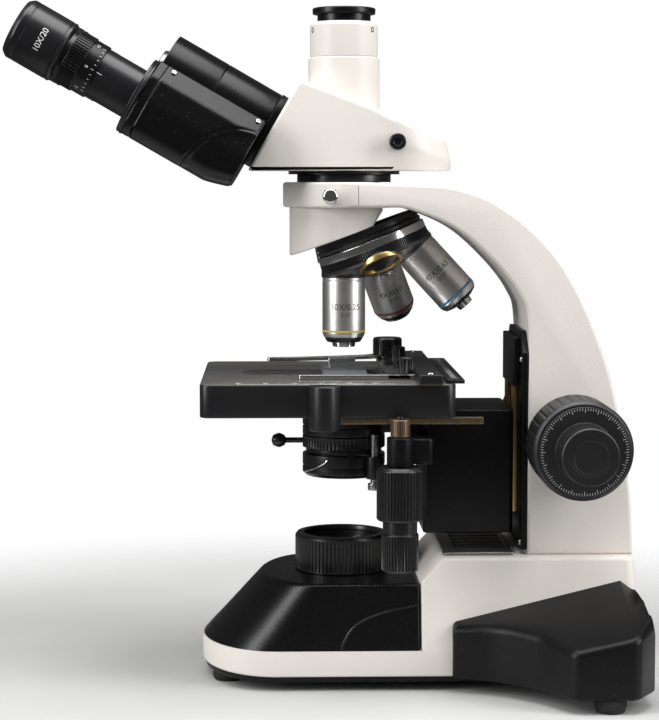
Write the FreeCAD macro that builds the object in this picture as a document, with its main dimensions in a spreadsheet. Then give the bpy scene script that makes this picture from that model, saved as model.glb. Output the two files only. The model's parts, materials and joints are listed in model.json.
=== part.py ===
import FreeCAD, Part
import math
import os
import re
import Sketcher

# An upright trinocular laboratory microscope, in millimetres, +Z up.
# The origin is the middle of the footprint on the table.  The optical axis is vertical at
# X = axis_x, the arm stands on the +X side, the user sits on the -X side, and "right" is the
# user's right, which is -Y.  Every place below is written from the optical axis, and each
# sub-part's Placement adds axis_x.

SIZES = {
    "axis_x": 11.5,
    # base: band, block, bottom plate, black cover, legs and feet
    "foot_high": 8, "foot_wide": 9, "plate_low": 5, "band_low": 8.5, "band_top": 23,
    "base_half": 59.5, "base_nose": -82, "base_shoulder": -54, "base_rear": 163.5,
    "block_front": 41, "block_ramp": 52, "block_ramp_low": 60.5, "base_top": 73.6,
    "block_half_top": 50, "wall": 3.5, "cover_top": 59.5, "cover_nose": -47.6,
    "cover_half_top": 51.5, "cover_shoulder": -22, "cover_wall": 2.5, "collector_x": -1.2,
    "leg_front": 58.9, "leg_half": 116, "leg_rear": 166, "leg_edge_high": 37,
    "leg_high": 69, "foot_front_x": -67, "foot_front_y": 25, "foot_rear_x": 140,
    "foot_rear_y": 106, "grille_front": 54, "grille_rear": 96, "grille_half": 42,
    # light in the base
    "ring_low": 59.8, "ring_top": 81, "ring_wide": 27, "ring_lip": 25.7, "ring_bore": 22.9,
    "housing_wide": 22.6, "housing_bore": 18, "lamp_high": 38, "lamp_wide": 17,
    "inlet_y": 22, "inlet_high": 40, "switch_y": -22, "dial_x": 49.5, "dial_wide": 8,
    # arm
    "arm_half": 40, "arm_top": 283.6, "arm_under": 269.4, "arm_front": -35,
    "arm_inner": 102.5, "arm_plate": 99, "plate_top": 200, "slot_half": 12,
    "slot_low": 95, "slot_top": 190, "room_half": 30, "room_rear": 138, "light_bore": 14, "spigot_wide": 20.3,
    "spigot_bore": 20.45, "collar_wide": 26.9, "collar_top": 288.3,
    # focus drive
    "shaft_x": 127.2, "shaft_z": 138.5, "pinion_wide": 8, "coarse_shaft": 5,
    "fine_shaft": 2.4, "coarse_wide": 27.5, "coarse_in": 50.4, "coarse_out": 87.6,
    "fine_disc": 24.7, "fine_wide": 15.8, "fine_disc_out": 90.5, "fine_out": 113,
    # revolving nosepiece
    "nose_tilt": 21.3, "nose_x": 20.5, "nose_z": 237.2, "port_ring": 22.05,
    "port_wide": 10.16, "insert_wide": 12.4, "insert_long": 5, "turret_wide": 32.6,
    "turret_rim": 6.1, "turret_top": 15, "bearing_low": 15.3, "bearing_top": 21.9,
    "bearing_wide": 31.5, "bearing_bore": 24.3, "pivot_wide": 4,
    # head
    "incline": 30, "head_half": 33, "head_low": 290, "disc_wide": 32, "disc_low": 288.6,
    "face_near": 192.7, "face_far": 196.8, "hub_up": 248.6, "hub_wide": 22.2,
    "hub_shaft": 5, "wing_near": 197.1, "wing_back": 200, "wing_seam": 231.5,
    "wing_far": 263.9, "tube_up": 229.1, "tube_y": 32, "wing_wide": 22.3, "waist_turn": 42,
    "flange_wide": 22.9, "flange_far": 267.2, "tube_wide": 14.75, "tube_bore": 11.75,
    "tube_far": 306.3, "ring_near": 291.7, "diopter_wide": 15.75, "grip_wide": 16.4,
    "grip_near": 300, "grip_far": 309.7, "eye_near": 313, "eye_far": 343,
    "eye_wide": 17.75, "eye_barrel": 11.6,
    "port_tube": 20.4, "port_tube_low": 322, "port_seam": 354.9, "port_collar": 19.4,
    "port_top": 374.5, "port_bore": 15.1, "cap_wide": 18, "cap_low": 378.9,
    "cap_top": 382.7, "cap_plug": 14.9, "rod_x": 28.7, "rod_z": 306.2,
    # stage
    "stage_left": -81, "stage_right": 59, "stage_half": 75, "stage_top": 174,
    "stage_skirt": 155.6, "deck_low": 166.2, "aperture_left": -59, "aperture_right": 27,
    "aperture_half": 15, "block_left": 44, "block_right": 95.2, "block_half": 33,
    "block_low": 85, "knob_x": 28, "knob_y": -80, "stage_pinion": 5.4,
    # substage condenser
    "condenser_wide": 22, "condenser_top": 151, "iris_low": 130.9, "iris_top": 138.1,
    "filter_low": 114.5, "filter_top": 127.6, "filter_pivot_x": 17, "filter_pivot_y": -20.5,
}

doc = FreeCAD.newDocument("microscope")
sheet = doc.addObject("Spreadsheet::Sheet", "Dims")
for row, (word, size) in enumerate(SIZES.items(), start=1):
    sheet.set(f"A{row}", word)
    sheet.set(f"B{row}", str(size))
    sheet.setAlias(f"B{row}", word)
doc.recompute()

nodes = []


# ---- helpers: expressions, sketches and the ways a piece is made ----

def cell(text):
    """An expression on the sheet, from one written with bare words."""
    return re.sub(r"[a-z_]+", lambda found: "Dims." + found.group(0)
                  if found.group(0) in SIZES else found.group(0), str(text))


def value(text):
    """The number that an expression gives."""
    return float(sheet.evalExpression(cell(text)))


def keep(piece):
    """Marks a piece as a sub-part that gets a file of its own."""
    nodes.append(piece)
    return piece


def place(piece, at=("0", "0", "0"), turn=(0, 0, 1, 0)):
    """Puts a piece at a point given from the optical axis, turned about a direction."""
    spin = FreeCAD.Rotation(FreeCAD.Vector(*turn[:3]), turn[3])
    piece.Placement = FreeCAD.Placement(FreeCAD.Vector(*[value(step) for step in at]), spin)
    piece.setExpression("Placement.Base.x", cell(f"axis_x + ({at[0]})"))
    piece.setExpression("Placement.Base.y", cell(at[1]))
    piece.setExpression("Placement.Base.z", cell(at[2]))
    return piece


def aim(piece, at, direction):
    """Puts a piece at a point with its own +Z along a direction."""
    spin = FreeCAD.Rotation(FreeCAD.Vector(0, 0, 1), FreeCAD.Vector(*direction))
    turn = (spin.Axis.x, spin.Axis.y, spin.Axis.z, math.degrees(spin.Angle))
    return place(piece, at, turn)


def body(label):
    """An empty PartDesign body."""
    made = doc.addObject("PartDesign::Body", label)
    made.Label = label
    return made


def origin_plane(owner, role):
    return [part for part in owner.Origin.OriginFeatures if part.Role == role][0]


def outline(owner, role, path, offset="0", circles=()):
    """A sketch whose corners are bound to the sheet.  A path entry (x, y) is a straight run to
    that point and (x, y, via_x, via_y) an arc through a point; the last entry closes the loop.
    A circle is (x, y, radius)."""
    sketch = owner.newObject("Sketcher::SketchObject", "outline")
    sketch.AttachmentSupport = [(origin_plane(owner, role), "")]
    sketch.MapMode = "FlatFace"
    sketch.setExpression("AttachmentOffset.Base.z", cell(offset))

    def pin(geometry, end, x, y):
        for kind, text in (("DistanceX", x), ("DistanceY", y)):
            number = sketch.addConstraint(
                Sketcher.Constraint(kind, -1, 1, geometry, end, value(text)))
            sketch.setExpression(f"Constraints[{number}]", cell(text))

    def point(x, y):
        return FreeCAD.Vector(value(x), value(y), 0)

    first, count = None, len(path)
    for index in range(1, count):
        start = point(*path[index - 1][:2])
        stop = point(*path[index][:2])
        if len(path[index]) == 4:
            via = path[index][2:]
            over = point(*via)
            forward = (over - start).cross(stop - over).z > 0
            ends = (start, stop) if forward else (stop, start)
            line = sketch.addGeometry(Part.Arc(ends[0], over, ends[1]), False)
            on_arc = sketch.addGeometry(Part.Point(over), True)
            pin(on_arc, 1, *via)
            sketch.addConstraint(Sketcher.Constraint("PointOnObject", on_arc, 1, line))
            begin, end = (1, 2) if forward else (2, 1)
        else:
            line = sketch.addGeometry(Part.LineSegment(start, stop), False)
            begin, end = 1, 2
        if first is None:
            first = (line, begin)
        else:
            sketch.addConstraint(Sketcher.Constraint("Coincident", *last, line, begin))
        pin(line, begin, *path[index - 1][:2])
        last = (line, end)
    if path:
        sketch.addConstraint(Sketcher.Constraint("Coincident", *last, *first))
    for x, y, radius in circles:
        ring = Part.Circle(point(x, y), FreeCAD.Vector(0, 0, 1), value(radius))
        circle = sketch.addGeometry(ring, False)
        pin(circle, 3, x, y)
        number = sketch.addConstraint(Sketcher.Constraint("Radius", circle, value(radius)))
        sketch.setExpression(f"Constraints[{number}]", cell(radius))
    return sketch


def add(owner, role, path, low, high, circles=()):
    """Pads an outline from one height to another above an origin plane."""
    pad = owner.newObject("PartDesign::Pad", "pad")
    pad.Profile = outline(owner, role, path, low, circles)
    pad.setExpression("Length", cell(f"({high}) - ({low})"))
    doc.recompute()
    return pad


def cut(owner, role, path, low, high, circles=()):
    """Pockets an outline between two heights above an origin plane."""
    before = owner.Shape.Volume
    pocket = owner.newObject("PartDesign::Pocket", "pocket")
    pocket.Profile = outline(owner, role, path, low, circles)
    pocket.setExpression("Length", cell(f"({high}) - ({low})"))
    pocket.Reversed = True
    doc.recompute()
    if owner.Shape.Volume > before - 0.01:
        raise RuntimeError(f"a pocket in {owner.Label} removes nothing")
    return pocket


def box_path(left, near, right, far):
    """The outline of a rectangle."""
    return [(left, near), (right, near), (right, far), (left, far), (left, near)]


def rounded_path(left, near, right, far, radius):
    """The outline of a rectangle with round corners."""
    bow = 1 - math.sqrt(0.5)
    path = [(f"{left} + {radius}", near)]
    corners = ((right, near, -1, 1, 0), (right, far, -1, -1, 1),
               (left, far, 1, -1, 0), (left, near, 1, 1, 1))
    for x, y, step_x, step_y, turn in corners:
        along = (f"{x} + {step_x} * {radius}", y)
        across = (x, f"{y} + {step_y} * {radius}")
        start, stop = (across, along) if turn else (along, across)
        path.append(start)
        path.append((*stop, f"{x} + {step_x * bow} * {radius}",
                     f"{y} + {step_y * bow} * {radius}"))
    return path


def turned(label, rings, at=("0", "0", "0"), direction=(0, 0, 1)):
    """A turned piece.  Rings are (radius, height) corners of its half section, in order."""
    made = body(label)
    turn = made.newObject("PartDesign::Revolution", "turn")
    sketch = outline(made, "XZ_Plane", rings + [rings[0]])
    turn.Profile = sketch
    turn.ReferenceAxis = (sketch, ["V_Axis"])
    turn.Angle = 360
    aim(made, at, direction)
    doc.recompute()
    return made


def tube_rings(inner, outer, low, high):
    """The half section of a plain ring."""
    return [(inner, low), (outer, low), (outer, high), (inner, high)]


def rod(label, radius, low, high, at, direction):
    """A plain round bar, as a tool for a bore or as a shaft."""
    bar = doc.addObject("Part::Cylinder", label)
    bar.Label = label
    bar.setExpression("Radius", cell(radius))
    bar.setExpression("Height", cell(f"({high}) - ({low})"))
    step = FreeCAD.Vector(*direction).normalize() * value(low)
    start = [f"({base}) + ({shift})" for base, shift in zip(at, step)]
    return aim(bar, start, direction)


def block(label, low, high, at=("0", "0", "0"), turn=(0, 0, 1, 0)):
    """A box between two corners, optionally turned about a point."""
    made = body(label)
    add(made, "XY_Plane", box_path(low[0], low[1], high[0], high[1]), low[2], high[2])
    place(made, at, turn)
    return made


def joined(label, kind, pieces):
    """A boolean of two or more pieces: Part::MultiFuse, Part::MultiCommon or Part::Cut."""
    made = doc.addObject(kind, label)
    made.Label = label
    if kind == "Part::Cut":
        made.Base, made.Tool = pieces
    else:
        made.Shapes = pieces
    doc.recompute()
    return made


def without(label, base, tools):
    """A piece less its tools."""
    tool = tools[0]
    if len(tools) > 1:
        tool = joined(label + "_tools", "Part::MultiFuse", tools)
    return joined(label, "Part::Cut", [base, tool])


# ---- base ----

def base_plan(inset, nose="base_nose", half="base_half", shoulder="base_shoulder",
              rear="base_rear"):
    """The base seen from above: straight sides and a round nose."""
    near, far = f"{inset} - {half}", f"{half} - ({inset})"
    back = f"{rear} - ({inset})"
    return [(shoulder, near), (back, near), (back, far), (shoulder, far),
            (shoulder, near, f"{nose} + {inset}", "0")]


base_plate = keep(place(body("base_plate")))
add(base_plate, "XY_Plane", base_plan("1.5"), "plate_low", "band_low")

band = place(body("base_band"))
add(band, "XY_Plane", base_plan("0"), "band_low", "band_top")

profile = place(body("base_block_profile"))
add(profile, "XZ_Plane", [
    ("block_front", "band_top"), ("base_rear", "band_top"), ("base_rear - 1", "base_top"),
    ("block_ramp", "base_top"), ("block_front", "block_ramp_low"),
    ("block_front", "band_top")], "-base_half", "base_half")
draft = place(body("base_block_draft"))
add(draft, "YZ_Plane", [
    ("-base_half", "band_top"), ("base_half", "band_top"), ("block_half_top", "base_top"),
    ("-block_half_top", "base_top"), ("-base_half", "band_top")],
    "block_front", "base_rear")
upper_block = joined("base_upper_block", "Part::MultiCommon", [profile, draft])
base_blank = joined("base_blank", "Part::MultiFuse", [band, upper_block])

hollow = place(body("base_hollow"))
add(hollow, "XY_Plane", base_plan("wall", rear="block_front + 2 * wall"),
    "band_low - 1", "band_top")
room = block("base_room", ("block_front + wall", "-46", "band_low - 1"),
             ("base_rear - wall", "46", "base_top - 4"))
light_way = rod("light_way", "14", "30", "60", ("0", "0", "lamp_high"), (1, 0, 0))
vent = block("vent_opening", ("grille_front + 4", "4 - grille_half", "60"),
             ("grille_rear - 4", "grille_half - 4", "base_top + 5"))
inlet_hole = block("inlet_hole", ("base_rear - 20", "inlet_y - 14", "inlet_high - 10"),
                   ("base_rear + 2", "inlet_y + 14", "inlet_high + 10"))
switch_hole = block("switch_hole", ("base_rear - 20", "switch_y - 10", "inlet_high - 7"),
                    ("base_rear + 2", "switch_y + 10", "inlet_high + 7"))
dial_hole = rod("dial_hole", "3.1", "40", "70", ("dial_x", "0", "lamp_high + 10"), (0, 1, 0))
base_casting = keep(without("base_casting", base_blank, [
    hollow, room, light_way, vent, inlet_hole, switch_hole, dial_hole]))


def lofted(owner, kind, low_path, low, high_path, high):
    """A loft between two outlines at two heights."""
    loft = owner.newObject(kind, "loft")
    loft.Profile = outline(owner, "XY_Plane", low_path, low)
    loft.Sections = [outline(owner, "XY_Plane", high_path, high)]
    loft.Ruled = True
    doc.recompute()
    return loft


cover_shell = place(body("cover_shell"))
for kind, inset, low, high in (
        ("PartDesign::AdditiveLoft", "0", "band_top + 0.1", "cover_top"),
        ("PartDesign::SubtractiveLoft", "cover_wall", "band_top", "cover_top - cover_wall")):
    lofted(cover_shell, kind,
           base_plan(f"{inset} + 0.6", rear="block_front + 0.4"), low,
           base_plan(inset, "cover_nose", "cover_half_top", "cover_shoulder",
                     "block_front - 0.2"), high)
collector_hole = rod("collector_hole", "housing_wide", "40", "70",
                     ("collector_x", "0", "0"), (0, 0, 1))
front_cover = keep(without("front_cover", cover_shell, [collector_hole]))


def leg(side):
    """One black outrigger leg, sloping down from the block to its foot."""
    made = place(body("leg_prism"))
    y = [f"{side} * ({text})" for text in
         ("block_half_top", "63", "73", "92", "leg_half", "leg_half", "96")]
    x = ["leg_front", "leg_front", "84", "104", "119.5", "154", "leg_rear"]
    path = list(zip(x, y)) + [("leg_rear", y[0]), (x[0], y[0])]
    add(made, "XY_Plane", path, "foot_high", "leg_high")
    slope = math.degrees(math.atan2(value("leg_high - leg_edge_high"), 62))
    over = doc.addObject("Part::Box", "leg_over")
    over.Length, over.Width, over.Height = 200, 140, 90
    tilt = FreeCAD.Rotation(FreeCAD.Vector(1, 0, 0), -side * slope) * FreeCAD.Rotation(
        FreeCAD.Vector(0, 1, 0), -8)
    turn = (tilt.Axis.x, tilt.Axis.y, tilt.Axis.z, math.degrees(tilt.Angle))
    shift = tilt.multVec(FreeCAD.Vector(-100, -70, 0))
    place(over, (f"150 + ({shift.x})", f"{side} * 54 + ({shift.y})",
                 f"leg_high - 1 + ({shift.z})"), turn)
    return without("leg_" + ("left" if side > 0 else "right"), made, [over, upper_block, band, base_plate])


legs = keep(joined("legs", "Part::MultiFuse", [leg(-1), leg(1)]))

feet = []
for x, y, top in (("foot_front_x", "foot_front_y", "plate_low"),
                  ("foot_rear_x", "foot_rear_y", "foot_high")):
    for side in (-1, 1):
        feet.append(rod("foot", "foot_wide", "0", top, (x, f"{side} * {y}", "0"), (0, 0, 1)))
feet = keep(joined("feet", "Part::MultiFuse", feet))

vent_grille = place(body("vent_grille"))
add(vent_grille, "XY_Plane", box_path("grille_front", "-grille_half", "grille_rear",
                                      "grille_half"), "base_top", "base_top + 2.4")
SLATS = 13
for slat in range(SLATS):
    y = f"-grille_half + 6 + {slat} * (2 * grille_half - 12) / {SLATS - 1}"
    cut(vent_grille, "XY_Plane", box_path("grille_front + 5", f"{y} - 1.6", "grille_rear - 5",
                                          f"{y} + 1.6"), "base_top", "base_top + 2.4")
keep(vent_grille)

# ---- light in the base ----
collector_at = ("collector_x", "0", "0")
collector_housing = keep(turned("collector_housing", [
    ("housing_bore", "44"), ("housing_wide", "44"), ("housing_wide", "ring_top - 3"),
    ("housing_bore + 2.5", "ring_top - 3"), ("housing_bore + 2.5", "ring_top - 6"),
    ("housing_bore", "ring_top - 6")], collector_at))
field_lens = keep(turned("field_lens", [
    ("0", "ring_top - 9"), ("housing_bore", "ring_top - 9"), ("housing_bore", "ring_top - 6.5"),
    ("0", "ring_top - 6.5")], collector_at))
collector_ring = keep(turned("collector_ring", [
    ("ring_bore", "ring_low"), ("ring_wide", "ring_low"), ("ring_lip", "ring_top"),
    ("ring_bore - 1.4", "ring_top"), ("ring_bore - 1.4", "ring_top - 2.6"),
    ("ring_bore", "ring_top - 2.6")], collector_at))
lamp_module = keep(turned("lamp_module", [
    ("0", "62"), ("lamp_wide - 4", "62"), ("lamp_wide - 4", "72"), ("lamp_wide", "72"),
    ("lamp_wide", "104"), ("0", "104")], ("0", "0", "lamp_high"), (1, 0, 0)))
mirror = keep(block("mirror", ("-12.5", "-13", "-2"), ("12.5", "13", "0"),
                    ("collector_x", "0", "lamp_high - 4"), (0, 1, 0, 45)))
inlet_box = block("inlet_box", ("base_rear - 18", "inlet_y - 13.8", "inlet_high - 9.8"),
                  ("base_rear + 1", "inlet_y + 13.8", "inlet_high + 9.8"))
inlet_well = block("inlet_well", ("base_rear - 14", "inlet_y - 12", "inlet_high - 8"),
                   ("base_rear + 2", "inlet_y + 12", "inlet_high + 8"))
power_inlet = keep(without("power_inlet", inlet_box, [inlet_well]))
power_switch = body("power_switch")
add(power_switch, "XZ_Plane", [
    ("-6", "-6"), ("1.2", "-6"), ("0.4", "0"), ("1.2", "6"), ("-6", "6"), ("-6", "-6")],
    "-9", "9")
keep(place(power_switch, ("base_rear", "switch_y", "inlet_high")))
brightness_dial = keep(turned("brightness_dial", [
    ("0", "38"), ("3", "38"), ("3", "57"), ("dial_wide", "57"), ("dial_wide - 0.6", "66"),
    ("0", "66")], ("dial_x", "0", "lamp_high + 10"), (0, 1, 0)))

# ---- arm ----
# the nosepiece hangs below it on a tilted pivot, and its bearing is let into the arm
tilt = math.radians(value("nose_tilt"))
up_pivot = FreeCAD.Vector(-math.sin(tilt), 0, math.cos(tilt))
nose_at = ("nose_x", "0", "nose_z")

arm_profile = place(body("arm_profile"))
add(arm_profile, "XZ_Plane", [
    ("arm_front - 1", "arm_top"), ("41", "arm_top"),
    ("85.8", "271", "65", "279.6"), ("128.2", "226.3", "109.5", "252"),
    ("154.4", "150.2", "145", "187"), ("162.5", "base_top", "160.3", "112"),
    ("arm_inner", "base_top"), ("arm_inner", "202.6"),
    ("82.5", "239.6", "97.4", "220.5"), ("35", "268.5", "61.5", "257.6"),
    ("20", "arm_under"), ("arm_front - 1", "arm_under"), ("arm_front - 1", "arm_top")],
    "-arm_half", "arm_half")
arm_plan = place(body("arm_plan"))
add(arm_plan, "XY_Plane", [
    ("arm_front + arm_half", "-arm_half"), ("170", "-arm_half"), ("170", "arm_half"),
    ("arm_front + arm_half", "arm_half"),
    ("arm_front + arm_half", "-arm_half", "arm_front", "0")], "base_top", "arm_top")
arm_blank = joined("arm_blank", "Part::MultiCommon", [arm_profile, arm_plan])
arm_room = block("arm_room", ("arm_inner - 1", "-room_half", "slot_low - 3"),
                 ("room_rear", "room_half", "slot_top - 5"))
turret_room = rod("turret_room", "turret_wide + 0.4", "0", "bearing_top", nose_at, up_pivot)
shaft_way = rod("shaft_way", "coarse_shaft + 0.06", "-45", "45",
                ("shaft_x", "0", "shaft_z"), (0, 1, 0))
spigot_way = rod("spigot_way", "spigot_bore", "271.5", "290", ("0", "0", "0"), (0, 0, 1))
light_bore = rod("light_bore", "light_bore", "200", "290", ("0", "0", "0"), (0, 0, 1))
clamp_way = rod("clamp_way", "2.6", "15", "45", ("-9", "0", "276"), (0, -1, 0))
arm = keep(without("arm", arm_blank, [arm_room, turret_room, shaft_way, spigot_way,
                                      light_bore, clamp_way]))

front_plate = place(body("front_plate"))
add(front_plate, "YZ_Plane", [
    ("1 - arm_half", "base_top + 2.6"), ("arm_half - 1", "base_top + 2.6"),
    ("arm_half - 1", "plate_top - 12"), ("arm_half - 13", "plate_top"),
    ("13 - arm_half", "plate_top"), ("1 - arm_half", "plate_top - 12"),
    ("1 - arm_half", "base_top + 2.6")], "arm_plate", "arm_inner")
cut(front_plate, "YZ_Plane", box_path("-slot_half", "slot_low", "slot_half", "slot_top"),
    "arm_plate", "arm_inner")
keep(front_plate)
rails = [block("rail", ("arm_plate - 3.4", f"{side} * 17 - 3", "slot_low"),
               ("arm_plate", f"{side} * 17 + 3", "slot_top + 5")) for side in (-1, 1)]
guide_rails = keep(joined("guide_rails", "Part::MultiFuse", rails))
arm_collar = keep(turned("arm_collar", tube_rings("spigot_bore", "collar_wide", "arm_top",
                                                 "collar_top")))
head_clamp_screw = keep(turned("head_clamp_screw", [
    ("0", "21"), ("2.5", "21"), ("2.5", "39.3"), ("4.5", "39.3"), ("4.5", "46"),
    ("3", "48"), ("0", "48.4")], ("-9", "0", "276"), (0, -1, 0)))

# ---- revolving nosepiece; heights run from the shoulder circle up the pivot ----
wedge = place(body("wedge"))
add(wedge, "XZ_Plane", [
    ("-31.3", "arm_under"), ("21", "arm_under"), ("20.9", "268"), ("15.7", "259.2"),
    ("-31.3", "241.4"), ("-31.3", "arm_under")], "-31", "31")
wedge_plan = rod("wedge_plan", "33", "230", "280", ("1.7", "0", "0"), (0, 0, 1))
wedge_blank = joined("wedge_blank", "Part::MultiCommon", [wedge, wedge_plan])
clearance = rod("wedge_clearance", "turret_wide", "0", "bearing_top", nose_at, up_pivot)
nosepiece_mount = keep(without("nosepiece_mount", wedge_blank, [light_bore, clearance]))
nosepiece_bearing = keep(turned("nosepiece_bearing", tube_rings(
    "bearing_bore", "bearing_wide", "bearing_low", "bearing_top"), nose_at, up_pivot))
turret_pivot = keep(turned("turret_pivot", [
    ("0", "-8.4"), ("6.5", "-8.4"), ("6.5", "-5.9"), ("pivot_wide", "-5.9"),
    ("pivot_wide", "bearing_top"), ("0", "bearing_top")], nose_at, up_pivot))

port_slope = math.tan(tilt)
turret_blank = turned("turret_blank", [
    ("pivot_wide + 0.06", "-5.5"), ("8", f"(8 - port_ring) * {port_slope}"),
    ("31.2", f"(31.2 - port_ring) * {port_slope}"), ("turret_wide", "turret_rim"),
    ("turret_wide", "turret_rim + 4.4"), ("turret_wide - 0.6", "turret_top"),
    ("pivot_wide + 0.06", "turret_top")], nose_at, up_pivot)


def port(step):
    """Seat and direction of one of the four ports; 0 is the one in use."""
    turn = FreeCAD.Rotation(up_pivot, 90 * step)
    ring = turn.multVec(FreeCAD.Vector(-math.cos(tilt), 0, -math.sin(tilt)))
    seat = FreeCAD.Vector(value("nose_x"), 0, value("nose_z")) + ring * value("port_ring")
    return (seat.x, seat.y, seat.z), turn.multVec(FreeCAD.Vector(0, 0, -1))


def port_piece(label, rings, step):
    """A turned piece in a port, its heights running out from the shoulder."""
    seat, way = port(step)
    return turned(label, rings, seat, way)


ports = [port(step) for step in range(4)]
seats = [rod("seat", "insert_wide", "-insert_long", "9", *where) for where in ports]
ways = [rod("way", "9", "-28", "0", *where) for where in ports]
turret = keep(without("turret", turret_blank, seats + ways))
inserts = [port_piece("insert", tube_rings("port_wide", "insert_wide", "-insert_long", "0"),
                      step) for step in range(4)]
port_inserts = keep(joined("port_inserts", "Part::MultiFuse", inserts))


def objective(label, step, cone, ring, nose, tip):
    """A plated objective: thread, shoulder, barrel, cone and front lens nose."""
    return keep(port_piece(label, [
        ("0", "-4"), ("9.9", "-4"), ("9.9", "0.2"), ("12.4", "0.2"), ("12.4", cone),
        ("11.2", ring), (nose, f"{tip} - 2"), (f"{nose} - 1.4", tip), ("0", tip)], step))


objective("objective_10x", 0, "28", "36.5", "9.4", "40.3")
objective("objective_4x", 3, "27", "34", "10.2", "37")
objective("objective_40x", 2, "31", "39.6", "6.5", "44")

# ---- head ----
head_dovetail = keep(turned("head_dovetail", [
    ("light_bore", "272"), ("spigot_wide", "272"), ("spigot_wide", "disc_low"),
    ("disc_wide", "disc_low"), ("disc_wide", "head_low"), ("light_bore", "head_low")]))

head_profile = place(body("head_profile"))
add(head_profile, "XZ_Plane", [
    ("-55", "head_low"), ("-27.4", "337.8"), ("-22.8", "339.7", "-25.4", "339.8"),
    ("45.2", "314"), ("61.4", "294.7", "57.2", "306"), ("61", "head_low"),
    ("-55", "head_low")], "-head_half", "head_half")
head_plan = place(body("head_plan"))
add(head_plan, "XY_Plane", [
    ("-60", "-head_half"), ("28.4", "-head_half"), ("28.4", "head_half", "61.4", "0"),
    ("-60", "head_half"), ("-60", "-head_half")], "head_low", "345")
head_blank = joined("head_blank", "Part::MultiCommon", [head_profile, head_plan])
head_room = place(body("head_room"))
add(head_room, "XZ_Plane", [
    ("-47", "294"), ("-24", "334"), ("44", "309.5"), ("52", "302"), ("52", "294"),
    ("-47", "294")], "-24", "24")
tube_seat = rod("tube_seat", "port_tube", "port_tube_low", "360", ("0", "0", "0"), (0, 0, 1))
rod_way = rod("rod_way", "2", "20", "40", ("rod_x", "0", "rod_z"), (0, -1, 0))
head_light = rod("head_light", "light_bore", "280", "300", ("0", "0", "0"), (0, 0, 1))

# heights of inclined pieces run along the eyetubes, "up" is square to them
lean = value("incline") - 90
lean_turn = (0, 1, 0, lean)
along_tube = FreeCAD.Rotation(FreeCAD.Vector(0, 1, 0), lean)


def inclined(label):
    """A body whose own X, Y and Z are up, across and along the eyetubes."""
    return place(body(label), turn=lean_turn)


def inclined_turned(label, rings, up, across):
    """A turned piece about an axis along the eyetubes."""
    start = along_tube.multVec(FreeCAD.Vector(value(up), value(across), 0))
    return turned(label, rings, (start.x, start.y, start.z),
                  along_tube.multVec(FreeCAD.Vector(0, 0, 1)))


def inclined_rod(label, radius, low, high, up, across):
    """A round bar about an axis along the eyetubes."""
    start = along_tube.multVec(FreeCAD.Vector(value(up), value(across), 0))
    return rod(label, radius, low, high, (start.x, start.y, start.z),
               along_tube.multVec(FreeCAD.Vector(0, 0, 1)))


head_mouth = inclined("head_mouth")
add(head_mouth, "XY_Plane", box_path("hub_up - 16", "9 - head_half", "hub_up + 17",
                                     "head_half - 9"), "face_near - 12", "face_near + 8")
head_housing = keep(without("head_housing", head_blank, [
    head_room, tube_seat, rod_way, head_light, head_mouth]))

faceplate = inclined("head_faceplate")
add(faceplate, "XY_Plane", rounded_path("hub_up - 22.6", "2 - head_half", "hub_up + hub_wide",
                                        "head_half - 2", "14"), "face_near", "face_far",
    circles=(("hub_up", "0", "hub_shaft"), ("hub_up - 20", "0", "2"),))
keep(faceplate)
hub_axle = keep(inclined_turned("hub_axle", [
    ("0", "186"), ("hub_shaft", "186"), ("hub_shaft", "wing_far + 0.2"),
    ("12", "wing_far + 0.2"), ("11", "flange_far"), ("0", "flange_far")], "hub_up", "0"))

tube = turned("tube_part", tube_rings("port_bore", "port_tube", "port_tube_low + 0.2",
                                      "port_seam - 0.6"))
collar = turned("collar_part", [
    ("port_bore", "port_seam - 0.6"), ("port_collar - 0.5", "port_seam - 0.6"),
    ("port_collar", "port_seam"), ("port_collar", "port_top - 2"),
    ("port_collar - 1.6", "port_top"), ("port_bore", "port_top")])
trinocular_tube = keep(joined("trinocular_tube", "Part::MultiFuse", [tube, collar]))
dust_cap = keep(turned("dust_cap", [
    ("0", "366"), ("cap_plug", "366"), ("cap_plug", "port_top + 0.1"),
    ("15.2", "port_top + 0.1"), ("15.2", "cap_low"), ("cap_wide", "cap_low"),
    ("cap_wide", "cap_top - 0.6"), ("cap_wide - 0.6", "cap_top"), ("0", "cap_top")]))
rod_bar = turned("rod_bar", [
    ("0", "14"), ("1.5", "14"), ("1.5", "33.4"), ("4.3", "33.4"), ("4.3", "40.5"),
    ("3.4", "41.5"), ("0", "41.5")], ("rod_x", "0", "rod_z"), (0, -1, 0))
prism_cell = block("prism_cell", ("-13", "-9", "298"), ("35", "21", "311"))
light_path_rod = keep(joined("light_path_rod", "Part::MultiFuse", [rod_bar, prism_cell]))


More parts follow.
